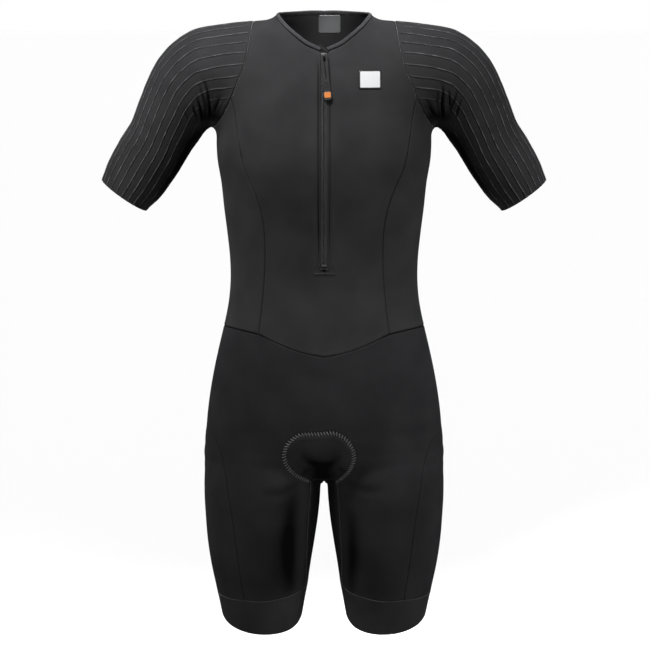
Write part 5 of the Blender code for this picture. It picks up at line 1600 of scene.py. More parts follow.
@dataclass
class Zip:
    """The front zip: tape, two rows of teeth, stop, slider and the pull that hangs from it."""

    figure: Figure
    finishes: dict[str, bpy.types.Material]
    top: float = -0.0468
    end: float = -0.3410
    slit_half: float = 0.0042
    tape_half: float = 0.0132
    tape_face: float = -0.0019
    tape_thick: float = 0.0007
    tooth_pitch: float = 0.0020
    tooth_radius: float = 0.00072
    tooth_inner: float = -0.00030
    tooth_outer: float = 0.0034
    tooth_out: float = -0.00035
    tooth_slant: float = 0.0012
    slider_height: float = -0.0520
    slider_length: float = 0.0095
    slider_width: float = 0.0088
    slider_waist: float = 0.0066
    slider_thick: float = 0.0015
    bridge_room: float = 0.0028
    bridge_length: float = 0.0070
    pull_length: float = 0.0625
    pull_width: float = 0.0098
    tip_width: float = 0.0114
    pull_thick: float = 0.0018
    pull_aside: float = 0.0055
    clearance: float = 0.0008
    bar: float = 0.0012
    slot_end: float = 0.0340
    tab_end: float = 0.0500
    inlay_middle: float = 0.0556
    inlay_width: float = 0.0086
    inlay_height: float = 0.0078

    def bed(self, heights: np.ndarray, across: np.ndarray | float,
            out: np.ndarray | float = 0.0) -> tuple[np.ndarray, np.ndarray]:
        """Places beside the zip, moved out from the cloth's face, and the way out at each."""
        heights, across = np.broadcast_arrays(np.asarray(heights, float), across)
        points = self.figure.faced(across, heights, Face.FRONT)
        normals = self.figure.outward(points)
        return points + normals * np.asarray(out)[..., None], normals

    def tape(self) -> bpy.types.Object:
        """Woven tape behind the slit."""
        heights = np.linspace(self.top + 0.001, self.end - 0.0088, 150)
        across = np.linspace(-self.tape_half, self.tape_half, 19)
        edge = 0.0003 * (np.abs(across) > self.tape_half * 0.9)
        points, _ = self.bed(heights[:, None], across[None], (self.tape_face - edge)[None]
                             + np.zeros((len(heights), 1)))
        mesh = mesh_of("zip_tape_woven", points.reshape(-1, 3), net_faces(points.shape[:2], False))
        add_vectors(mesh, "weave", weave_of(points))
        add_values(mesh, "to_seam", np.ones(points.size // 3))
        mesh.shade_smooth()
        tape = placed("zip_tape_woven", mesh, self.finishes["tape"], "trim", "suit", "zip_tape")
        add_wall(tape, self.tape_thick)
        return tape

    def teeth(self) -> bpy.types.Object:
        """Two rows of slanting teeth, each row half a pitch from the other, and their cords."""
        heights = np.arange(self.top - 0.0022, self.end + 0.0072, -self.tooth_pitch)
        starts, ends, ways = [], [], []
        for side in Side:
            level = heights - (self.tooth_pitch / 2 if side is Side.LEFT else 0.0)
            inner, normals = self.bed(level, -side.value * self.tooth_inner, self.tooth_out)
            outer, _ = self.bed(level - self.tooth_slant, side.value * self.tooth_outer,
                                self.tooth_out)
            starts.append(inner)
            ends.append(outer)
            ways.append(normals)
        tooth = Stitch(radius=self.tooth_radius, rise=0.00022, sides=6)
        mesh = tooth.mesh("teeth", np.concatenate(starts), np.concatenate(ends),
                          np.concatenate(ways))
        cords = []
        for side in Side:
            line = np.linspace(self.top - 0.001, self.end + 0.0066, 260)
            path, normals = self.bed(line, side.value * (self.tooth_outer + 0.00025),
                                     -0.0004)
            ring = rounded_outline(0.0009, 0.0009, 0.00044, 2)
            cords.append(swept("cord", path, normals, ring))
        whole = joined_mesh("zip_teeth", [mesh, *cords])
        whole.shade_smooth()
        return placed("zip_teeth", whole, self.finishes["teeth"], "zip_plastic", "suit",
                      "zip_coil")

    def stop(self) -> bpy.types.Object:
        """Moulded stop over the last teeth, with rounded edges."""
        middle, normal = self.bed(np.array([self.end + 0.0049]), 0.0, 0.0001)
        axes = Axes.of(middle[0], ACROSS, np.cross(normal[0], ACROSS))
        axes = replace(axes, out=normal[0])
        mesh = plate("zip_end_stop", [rounded_outline(0.0076, 0.0030, 0.0007)], 0.0011, 0.0005,
                     axes)
        return placed("zip_end_stop", mesh, self.finishes["teeth"], "zip_plastic", "suit",
                      "zip_stop")

    def hinge(self) -> tuple[np.ndarray, np.ndarray, np.ndarray]:
        """The hinge's place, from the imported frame, with the zip's way up and out there."""
        joint = next(joint for joint in frame["joints"] if joint["name"] == "zip_pull_hinge")
        place = np.array(joint["pos_m"])
        above, _ = self.bed(np.array([self.slider_height + 0.004]), 0.0)
        below, _ = self.bed(np.array([self.slider_height - 0.004]), 0.0)
        up = unit(above[0] - below[0])
        return place, up, np.cross(ACROSS, up)

    def slider(self) -> bpy.types.Object:
        """Slider: a waisted body with wings, and the loop that holds the pull."""
        place, up, out = self.hinge()
        seat = place - out * (self.slider_thick + self.bridge_room / 2)
        axes = Axes.of(seat, ACROSS, up)
        wide, narrow, half = self.slider_width / 2, self.slider_waist / 2, self.slider_length / 2
        knots = np.array([(0.0, half), (wide * 0.55, half - 0.0002), (wide * 0.92, half - 0.0010),
                          (wide, half - 0.0026), (wide * 0.86, 0.0), (narrow, -half + 0.0022),
                          (narrow * 0.8, -half + 0.0004), (0.0, -half)])
        right = curved(np.column_stack([knots, np.zeros(len(knots))]), 4)[:, :2]
        outline = np.concatenate([right, (right * [-1, 1])[::-1][1:-1]])
        body = plate("body", [outline], self.slider_thick / 2, 0.00045, axes,
                     self.slider_thick / 2)
        channel = plate("channel", [rounded_outline(self.slider_waist * 0.92, 0.0074, 0.0012)],
                        0.0004, 0.0003, axes, self.slider_thick + 0.0001)
        reach, rise = self.bridge_length / 2 - 0.00045, self.bridge_room + 0.00045
        turn = np.linspace(0, np.pi, 25)
        flat = np.stack([np.zeros(25), np.sign(np.cos(turn)) * np.abs(np.cos(turn)) ** 0.55 * reach,
                         self.slider_thick - 0.0003 + np.sin(turn) ** 0.45 * (rise + 0.0003)], 1)
        path = axes.world(flat)
        sides = np.broadcast_to(axes.right, path.shape)
        ring = rounded_outline(0.0009, 0.0020, 0.00040, 3)
        loop = swept("loop", path, sides, ring)
        whole = joined_mesh("zip_slider_cast", [body, channel, loop])
        whole.shade_smooth()
        whole.set_sharp_from_angle(angle=SHARP_ANGLE)
        return placed("zip_slider_cast", whole, self.finishes["slider"], "zip_metal", "suit",
                      "zip_slider")

    def pull_axes(self) -> Axes:
        """Frame of the hanging pull: hinged in the loop, its tip close to the cloth."""
        place, _, _ = self.hinge()
        along = np.linspace(0.012, self.pull_length, 24)
        edges = np.array([-self.tip_width / 2, 0.0, self.tip_width / 2])
        aside = self.pull_aside / self.pull_length
        reach = math.sqrt(1 - aside * aside)
        for angle in np.radians(np.linspace(5, 70, 261)):
            down = np.array([aside, -math.sin(angle) * reach, -math.cos(angle) * reach])
            axes = Axes.of(place, ACROSS, -down)
            back = (place + along[:, None, None] * down + edges[None, :, None] * axes.right
                    - axes.out * self.pull_thick / 2).reshape(-1, 3)
            if self.figure.distance(back).min() >= self.clearance:
                break
        return axes

    def pull(self) -> list[bpy.types.Object]:
        """Pull: two rubber strands from the bar, a ribbed tab, a metal tip and a square inlay."""
        axes = self.pull_axes()
        half, bar = self.pull_width / 2, self.bar / 2
        shoulder = 0.0018
        turn = np.radians(np.linspace(90, 0, 7))
        side = np.stack([half - shoulder + shoulder * np.cos(turn),
                         bar - shoulder + shoulder * np.sin(turn)], 1)
        side = np.concatenate([side, [(half * 0.98, -0.012), (half * 0.93, -0.024),
                                      (half * 0.90, -self.slot_end), (half * 0.93, -0.043),
                                      (half, -self.tab_end - 0.0004)]])
        outline = np.concatenate([side, (side * [-1, 1])[::-1]])
        slot_side = np.array([(0.0014, -bar - 0.0003), (0.0014, -bar - 0.0060),
                              (0.0008, -bar - 0.0100), (0.0006, -self.slot_end + 0.0006),
                              (0.0003, -self.slot_end)])
        slot = np.concatenate([slot_side, (slot_side * [-1, 1])[::-1]])
        strands = plate("strands", [outline, slot], self.pull_thick / 2, 0.0005, axes)
        ridges = [plate("ridge", [rounded_outline(0.0070, 0.0009, 0.0003, 3)
                                  + np.array([0.0, -0.0375 - 0.0022 * step])],
                        0.0003, 0.0002, axes, self.pull_thick / 2) for step in range(4)]
        cloth = joined_mesh("zip_pull_strands", [strands, *ridges])
        cloth.shade_smooth()
        cloth.set_sharp_from_angle(angle=SHARP_ANGLE)
        middle = (-self.tab_end - self.pull_length) / 2
        cap_height = self.pull_length - self.tab_end
        cap = rounded_outline(self.tip_width, cap_height, 0.0034, 8) + np.array([0.0, middle])
        housing = plate("zip_pull_tip", [cap], self.pull_thick / 2, 0.0006, axes)
        square = rounded_outline(self.inlay_width, self.inlay_height, 0.0012)
        square = square + np.array([0.0, -self.inlay_middle])
        inlay = plate("zip_pull_square", [square], 0.00035, 0.0003, axes,
                      self.pull_thick / 2 + 0.0001)
        return [placed("zip_pull_strands", cloth, self.finishes["rubber"], "pull_rubber", "pull",
                       "zip_pull"),
                placed("zip_pull_tip", housing, self.finishes["tip"], "zip_metal", "pull"),
                placed("zip_pull_square", inlay, self.finishes["orange"], "pull_orange", "pull",
                       "zip_pull_inlay")]

    def build(self) -> None:
        """Make all the zip's pieces."""
        self.tape()
        self.teeth()
        self.stop()
        self.slider()
        self.pull()


# ---------------------------------------------------------------- trims on the cloth

@dataclass
class Trims:
    """Neck binding, the fold over the zip's top, chest patch, neck label, and pieces of stitching.
    """

    figure: Figure
    pattern: Pattern
    finishes: dict[str, bpy.types.Material]
    binding_low: float = 0.0001
    binding_width: float = 0.0052
    patch_centre: tuple[float, float] = (0.0622, -0.0830)
    patch_size: tuple[float, float] = (0.0310, 0.0256)
    label_centre: tuple[float, float] = (0.0080, -0.0092)
    label_size: tuple[float, float] = (0.0315, 0.0250)
    card_corner: float = 0.0032

    def neck_line(self, count: int = 300) -> tuple[np.ndarray, np.ndarray, np.ndarray]:
        """The neck's edge from one side of the slit round the back to the other.

        Args:
            count: number of points on it.

        Returns:
            The points, the ways out of the cloth and the ways up beside it.
        """
        marks = np.linspace(0, 10, 220)
        half = self.pattern.along(("neck_front", "neck_back"), marks)
        half = half[half[:, 0] > 0.0043] if half[0, 0] < 0.0043 else half
        half = np.concatenate([half, self.pattern.along(("neck_back",), np.array([5.0]))])
        line = even_line(np.concatenate([half, (half * MIRROR)[::-1][1:]]), count)
        line = self.figure.onto(line, rounds=2)
        normals = self.figure.outward(line)
        rise = unit(np.cross(np.gradient(line, axis=0), normals))
        return line, normals, rise * np.sign(rise[:, 2:])

    def binding(self) -> bpy.types.Object:
        """Folded tape round the neck, soft at its folds."""
        line, normals, rise = self.neck_line()
        low, high = self.binding_low, self.binding_width
        middle = line + rise * ((low + high) / 2) - normals * 0.00055
        turn = np.linspace(0, 2 * np.pi, 24, endpoint=False)
        width, depth = (high - low) / 2, 0.00145
        section = np.stack([np.sign(np.cos(turn)) * np.abs(np.cos(turn)) ** 0.45 * width,
                            np.sign(np.sin(turn)) * np.abs(np.sin(turn)) ** 0.55 * depth], 1)
        mesh = swept("neck_binding_tape", middle, normals, section)
        self.woven_along(mesh, line, line[::6])
        piece = placed("neck_binding_tape", mesh, self.finishes["trim"], "trim", "suit",
                       "neck_binding")
        return piece

    def garage(self) -> bpy.types.Object:
        """Narrow fold of binding that slants over the top of the zip."""
        knots = np.array([(-0.0064, 0.0, -0.0374), (-0.0030, 0.0, -0.0404), (0.0008, 0.0, -0.0436),
                          (0.0052, 0.0, -0.0466)])
        fine = curved(knots, 8)
        line = self.figure.faced(fine[:, 0], fine[:, 2], Face.FRONT)
        normals = self.figure.outward(line)
        mesh = swept("zip_garage_fold", line + normals * 0.0002, normals,
                     rounded_outline(0.0036, 0.0016, 0.0007, 4))
        self.woven_along(mesh, line, line)
        piece = placed("zip_garage_fold", mesh, self.finishes["tape"], "trim", "suit")
        return piece

    @staticmethod
    def woven_along(mesh: bpy.types.Mesh, line: np.ndarray, sparse: np.ndarray) -> None:
        """Lay a tape's knit along its line; points of the line, or fewer, find each corner."""
        away, share = nearest_on(corners_of(mesh), sparse)
        add_vectors(mesh, "weave", np.stack([share * run_of(line)[-1], away, 0 * away], 1))
        add_values(mesh, "to_seam", np.ones(len(away)))

    def card(self, name: str, centre: tuple[float, float], size: tuple[float, float],
             face: Face, out: float, thick: float, rows: int = 36) -> bpy.types.Mesh:
        """Thin card with round corners, laid over the figure's front or back.

        A square net is drawn in to the card's rounded outline; its outer rows turn down to the
        cloth.

        Args:
            name: the mesh's name.
            centre: its middle, across and up.
            size: its width and height.
            face: front or back of the suit.
            out: how far its near side stands out of the figure.
            thick: its thickness, away from the cloth.
            rows: number of cells each way.

        Returns:
            The mesh, with the distance to its rim as a value.
        """
        u = np.sin(np.linspace(-np.pi / 2, np.pi / 2, rows + 1))
        across, up = np.meshgrid(u, -u)
        half = np.array(size) / 2
        x, z = across * half[0], up * half[1]
        inner = half - self.card_corner
        over = np.stack([np.maximum(np.abs(x) - inner[0], 0), np.maximum(np.abs(z) - inner[1], 0)])
        far = np.hypot(*over)
        square = np.maximum(*over)
        draw = np.where(far > 1e-9, square / np.maximum(far, 1e-9), 1.0)
        x = np.sign(x) * (np.minimum(np.abs(x), inner[0]) + over[0] * draw)
        z = np.sign(z) * (np.minimum(np.abs(z), inner[1]) + over[1] * draw)
        to_rim = self.card_corner - np.where(far > 1e-9, square, 0)
        to_rim = np.where(far > 1e-9, to_rim, np.minimum(half[0] - np.abs(x), half[1] - np.abs(z)))
        base = self.figure.faced(centre[0] + x, centre[1] + z, face)
        normals = self.figure.outward(base)
        sign = 1.0 if out > 0 else -1.0
        rounded = thick * np.sqrt(np.clip(to_rim / 0.0007, 0.0, 1.0))
        points = base + normals * (out + sign * rounded)[..., None]
        turned = (face is Face.BACK) != (sign < 0)
        mesh = mesh_of(name, points.reshape(-1, 3), net_faces(points.shape[:2], turned))
        add_values(mesh, "to_rim", to_rim.ravel())
        add_vectors(mesh, "weave", np.stack([x.ravel(), z.ravel(), 0 * x.ravel()], 1))
        mesh.shade_smooth()
        return mesh

    def chest_patch(self) -> bpy.types.Object:
        """Reflective patch on the chest."""
        mesh = self.card("chest_patch_film", self.patch_centre, self.patch_size, Face.FRONT,
                         0.0004, 0.0006)
        return placed("chest_patch_film", mesh, self.finishes["film"], "reflective", "suit",
                      "chest_patch")

    def neck_label(self) -> bpy.types.Object:
        """Bare printed label inside the back of the neck."""
        mesh = self.card("neck_label_print", self.label_centre, self.label_size, Face.BACK,
                         -0.0019, 0.0005)
        return placed("neck_label_print", mesh, self.finishes["label"], "label_grey", "suit",
                      "neck_label")

    def sewn(self, name: str, runs: Sequence[tuple[np.ndarray, np.ndarray]], stitch: Stitch,
             finish: str, slot: str = "knit") -> bpy.types.Object:
        """Stitches as one piece.

        Args:
            name: the piece's name.
            runs: starts and ends of stitches, on the cloth.
            stitch: their shape.
            finish: their material.
            slot: the record's material slot.

        Returns:
            The object.
        """
        starts = np.concatenate([run[0] for run in runs])
        ends = np.concatenate([run[1] for run in runs])
        mesh = stitch.mesh(name, starts, ends, self.figure.outward(starts))
        return placed(name, mesh, self.finishes[finish], slot, "suit")

    def both(self, line: np.ndarray) -> list[np.ndarray]:
        """A line and its copy across the middle of the body."""
        return [line, line * MIRROR]

    def raised(self, line: np.ndarray, out: float) -> np.ndarray:
        """A line moved out of the figure."""
        return line + self.figure.outward(line) * out

    def beside(self, line: np.ndarray, aside: float, out: float = 0.0) -> np.ndarray:
        """A line moved sideways over the figure, and out of it.

        Args:
            line: points on the figure.
            aside: how far, to the right of the way along it as seen from outside.
            out: how far out.

        Returns:
            The moved line.
        """
        normals = self.figure.outward(line)
        side = unit(np.cross(np.gradient(line, axis=0), normals))
        moved = self.figure.onto(line + side * aside, rounds=2)
        return moved + self.figure.outward(moved) * out


# ---------------------------------------------------------------- whole suit

def mirrored_creases(creases: Sequence[Crease], face: Face | None = None,
                     flip: bool = True) -> tuple[Crease, ...]:
    """Creases on the other side of the body, or on another face."""
    sign = -1 if flip else 1
    return tuple(replace(crease, path=tuple((sign * x, z) for x, z in crease.path),
                         face=face or crease.face) for crease in creases)


# Under the wearer's right arm, seen from the front, and then under the left
RIGHT_ARM_CREASES = (
    Crease(((-0.1655, -0.0810), (-0.1600, -0.0960), (-0.1572, -0.1150), (-0.1561, -0.1410)),
           0.0034, 0.0017, ends=0.8),
    Crease(((-0.1713, -0.0911), (-0.1665, -0.1037), (-0.1625, -0.1163), (-0.1610, -0.1288)),
           0.0026, 0.0013, ends=0.9),
    Crease(((-0.1736, -0.1052), (-0.1705, -0.1195), (-0.1681, -0.1336), (-0.1673, -0.1430)),
           0.0027, 0.0015, ends=0.8),
    Crease(((-0.1799, -0.1170), (-0.1780, -0.1270), (-0.1744, -0.1367)), 0.0020, 0.0015, ends=0.8),
    Crease(((-0.1926, -0.1241), (-0.1886, -0.1336), (-0.1846, -0.1399)), 0.0014, 0.0014, ends=0.8),
    Crease(((-0.1428, -0.1006), (-0.1451, -0.1132), (-0.1512, -0.1290)), 0.0026, 0.0017, ends=0.8),
    Crease(((-0.1470, -0.1200), (-0.1400, -0.1188), (-0.1335, -0.1201)), 0.0015, 0.0011, ends=0.8),
    Crease(((-0.1545, -0.1090), (-0.1520, -0.1060), (-0.1495, -0.1050)), 0.0012, 0.0011, ends=0.8),
    Crease(((-0.1720, -0.0700), (-0.1685, -0.0770), (-0.1660, -0.0830)), 0.0008, 0.0016, ends=0.8))
RIGHT_CHEST_CREASES = (
    Crease(((-0.1480, -0.0987), (-0.1500, -0.1147)), 0.0016, 0.0020),
    Crease(((-0.1480, -0.1177), (-0.1395, -0.1177)), 0.0014, 0.0020),
    Crease(((-0.1400, -0.1417), (-0.1240, -0.1677), (-0.1120, -0.1967)), 0.0012, 0.0050))
LEFT_ARM_CREASES = (
    Crease(((0.1618, -0.0900), (0.1629, -0.1011), (0.1616, -0.1150), (0.1644, -0.1382)),
           0.0034, 0.0018, ends=0.8),
    Crease(((0.1700, -0.0985), (0.1723, -0.1090), (0.1715, -0.1249)), 0.0026, 0.0014, ends=0.8),
    Crease(((0.1825, -0.0985), (0.1800, -0.1090), (0.1756, -0.1180), (0.1728, -0.1300)),
           0.0022, 0.0014, ends=0.8),
    Crease(((0.1890, -0.1100), (0.1841, -0.1243), (0.1813, -0.1370)), 0.0019, 0.0015, ends=0.8),
    Crease(((0.1545, -0.0960), (0.1552, -0.1067), (0.1535, -0.1180)), 0.0016, 0.0012, ends=0.8),
    Crease(((0.1370, -0.1085), (0.1441, -0.1166), (0.1475, -0.1263), (0.1545, -0.1370)),
           0.0028, 0.0017, ends=0.8),
    Crease(((0.1355, -0.1210), (0.1395, -0.1218), (0.1435, -0.1208)), 0.0012, 0.0010, ends=0.8))
LEFT_CHEST_CREASES = (
    Crease(((0.1420, -0.1087), (0.1515, -0.1197), (0.1550, -0.1297), (0.1630, -0.1377)),
           0.0026, 0.0019),
    Crease(((0.1330, -0.1397), (0.1210, -0.1697)), 0.0010, 0.0045))
# Shade in the finish, without depth, where the cloth turns away between the arms and the body
# and between the legs; the first of the pad's also sinks the cloth by a millimetre
ARM_PAINTED_SHADE = (
    Crease(((-0.1720, -0.1290), (-0.1560, -0.1350), (-0.1400, -0.1330)), 0.0, 0.0150, painted_shade=1.0,
           ends=0.30),
    Crease(((-0.1600, -0.1490), (-0.1863, -0.1740), (-0.2005, -0.2010), (-0.2190, -0.2290),
            (-0.2320, -0.2480)), 0.0, 0.0145, painted_shade=1.0, ends=0.22))
CHEST_PAINTED_SHADE = (
    Crease(((-0.1460, -0.100), (-0.1440, -0.130), (-0.1400, -0.165)), 0.0, 0.0110, painted_shade=0.55),)
LEG_PAINTED_SHADE = (
    Crease(((-0.0440, -0.655), (-0.0490, -0.730), (-0.0470, -0.812)), 0.0, 0.0145, painted_shade=0.95,
           ends=0.30),
    Crease(((0.0390, -0.685), (0.0400, -0.750), (0.0370, -0.814)), 0.0, 0.0125, painted_shade=0.90,
           ends=0.35),
    Crease(((-0.0600, -0.705), (-0.0680, -0.760), (-0.0680, -0.820)), 0.0, 0.0300, painted_shade=0.45,
           ends=0.40),
    Crease(((0.0560, -0.740), (0.0620, -0.780), (0.0640, -0.820)), 0.0, 0.0280, painted_shade=0.32,
           ends=0.40))
PAD_CREASE_AND_PAINTED_SHADE = (
    Crease(((-0.0310, -0.5976), (-0.0200, -0.6105), (-0.0017, -0.6175), (0.0138, -0.6105),
            (0.0190, -0.6000)), 0.0010, 0.0062, painted_shade=0.45, ends=0.50),
    Crease(((-0.0030, -0.6200), (-0.0025, -0.6310), (-0.0020, -0.6430)), 0.0, 0.0165, painted_shade=1.25,
           ends=0.12))
# A crease at the leg band's seam, with painted shade in its trough
BAND_SEAM = (
    Crease(((-0.0236, -0.8125), (-0.0290, -0.8320), (-0.0348, -0.8520)), 0.0009, 0.0009,
           painted_shade=0.4, ends=0.2),)
CROTCH_CREASES = (
    Crease(((0.0300, -0.6420), (0.0560, -0.6540), (0.0860, -0.6520)), 0.0009, 0.0060),
    Crease(((-0.0330, -0.6450), (-0.0600, -0.6580), (-0.0880, -0.6570)), 0.0010, 0.0065),
    Crease(((0.0180, -0.6180), (0.0320, -0.6350)), 0.0010, 0.0040),
    Crease(((-0.0200, -0.6200), (-0.0340, -0.6370)), 0.0011, 0.0040))
BACK_CREASES = (
    Crease(((-0.0500, -0.402), (0.0000, -0.410), (0.0540, -0.400)), 0.0011, 0.0070, Face.BACK),
    Crease(((-0.0340, -0.372), (0.0100, -0.377), (0.0460, -0.371)), 0.0008, 0.0065, Face.BACK),
    Crease(((0.1250, -0.150), (0.1140, -0.190), (0.1080, -0.225)), 0.0012, 0.0050, Face.BACK),
    Crease(((-0.1260, -0.150), (-0.1150, -0.185), (-0.1090, -0.215)), 0.0013, 0.0048, Face.BACK))
SEAT_CREASES = (
    Crease(((0.0250, -0.655), (0.0560, -0.668), (0.0960, -0.664)), 0.0014, 0.0060, Face.BACK),
    Crease(((-0.0250, -0.655), (-0.0580, -0.669), (-0.0980, -0.665)), 0.0014, 0.0060, Face.BACK))
PAD_OUTLINE = (
    (-0.0226, -0.6470), (-0.0355, -0.6377), (-0.0465, -0.6265), (-0.0535, -0.6140),
    (-0.0553, -0.6015), (-0.0520, -0.5895), (-0.0450, -0.5800), (-0.0334, -0.5725),
    (-0.0200, -0.5708), (-0.0056, -0.5708), (0.0139, -0.5696), (0.0292, -0.5778),
    (0.0380, -0.5900), (0.0418, -0.6030), (0.0400, -0.6160), (0.0343, -0.6290),
    (0.0267, -0.6400), (0.0172, -0.6520))


@dataclass
class Studio:
    """Camera, pale floor and soft light."""

    focal_length: float = 113.1
    sensor: float = 36.0
    camera_place: tuple[float, float, float] = (0.0014, -2.8643, 0.0212)
    pitch: float = 81.0
    floor_level: float = -1.15
    world_light: float = 1.0
    lamps: tuple[tuple[str, tuple[float, float, float], tuple[float, float, float], float, float,
                       float], ...] = (
        ("key", (-0.38, -0.58, 1.32), (-0.01, -0.08, -0.03), 0.40, 7.8, 27.0),
        ("fill", (2.0, -0.80, 0.00), (0.13, -0.05, -0.48), 0.60, 7.6, 38.0),
        ("sleeve_lamp", (-1.2, -1.0, 0.60), (-0.30, 0.0, -0.12), 0.30, 1.3, 14.0),
        ("hip_lamp", (-1.8, -0.85, -0.20), (-0.13, -0.03, -0.60), 0.40, 1.1, 25.0),
        ("neck_lamp", (0.01, -1.20, 0.42), (0.007, 0.062, -0.016), 0.05, 0.155, 6.5),
        ("back_key", (0.50, 1.50, 1.10), (0.0, 0.10, -0.25), 0.80, 22.0, 60.0),
        ("back_fill", (-1.4, 1.60, -0.10), (0.0, 0.05, -0.45), 0.80, 11.0, 60.0))

    def build(self) -> None:
        """Set up the scene round the suit."""
        scene = bpy.context.scene
        camera = bpy.data.cameras.new("camera")
        camera.lens, camera.sensor_width = self.focal_length, self.sensor
        holder = bpy.data.objects.new("camera", camera)
        holder.location = self.camera_place
        holder.rotation_euler = (math.radians(self.pitch), 0.0, 0.0)
        scene.collection.objects.link(holder)
        scene.camera = holder
        for name, place, target, size, power, spread in self.lamps:
            light = bpy.data.lights.new(name, "AREA")
            light.energy, light.size, light.spread = power, size, math.radians(spread)
            lamp = bpy.data.objects.new(name, light)
            lamp.location = place
            way = Vector(target) - Vector(place)
            lamp.rotation_euler = way.to_track_quat("-Z", "Y").to_euler()
            scene.collection.objects.link(lamp)
        world = bpy.data.worlds.new("studio")
        world.use_nodes = True
        background = world.node_tree.nodes["Background"]
        background.inputs["Color"].default_value = (1.0, 1.0, 1.0, 1.0)
        background.inputs["Strength"].default_value = self.world_light
        scene.world = world
        scene.view_settings.view_transform = "Standard"
        self.floor()

    def floor(self) -> None:
        """Pale floor, far below the hanging suit."""
        mesh = mesh_of("floor", np.array([(-40.0, -20.0, self.floor_level),
                                          (40.0, -20.0, self.floor_level),
                                          (40.0, 80.0, self.floor_level),
                                          (-40.0, 80.0, self.floor_level)]),
                       np.array([[0, 1, 2, 3]]))
        shading = Shading("floor_paper")
        grain = shading.noise(0.02, 2.0)
        shading.colour(shading.mixed(grain, (0.975, 0.975, 0.975), (0.99, 0.99, 0.99)))
        shading.roughness(grain * 0.1 + 0.85)
        mesh.materials.append(shading.material)
        plane = bpy.data.objects.new("floor", mesh)
        bpy.context.scene.collection.objects.link(plane)


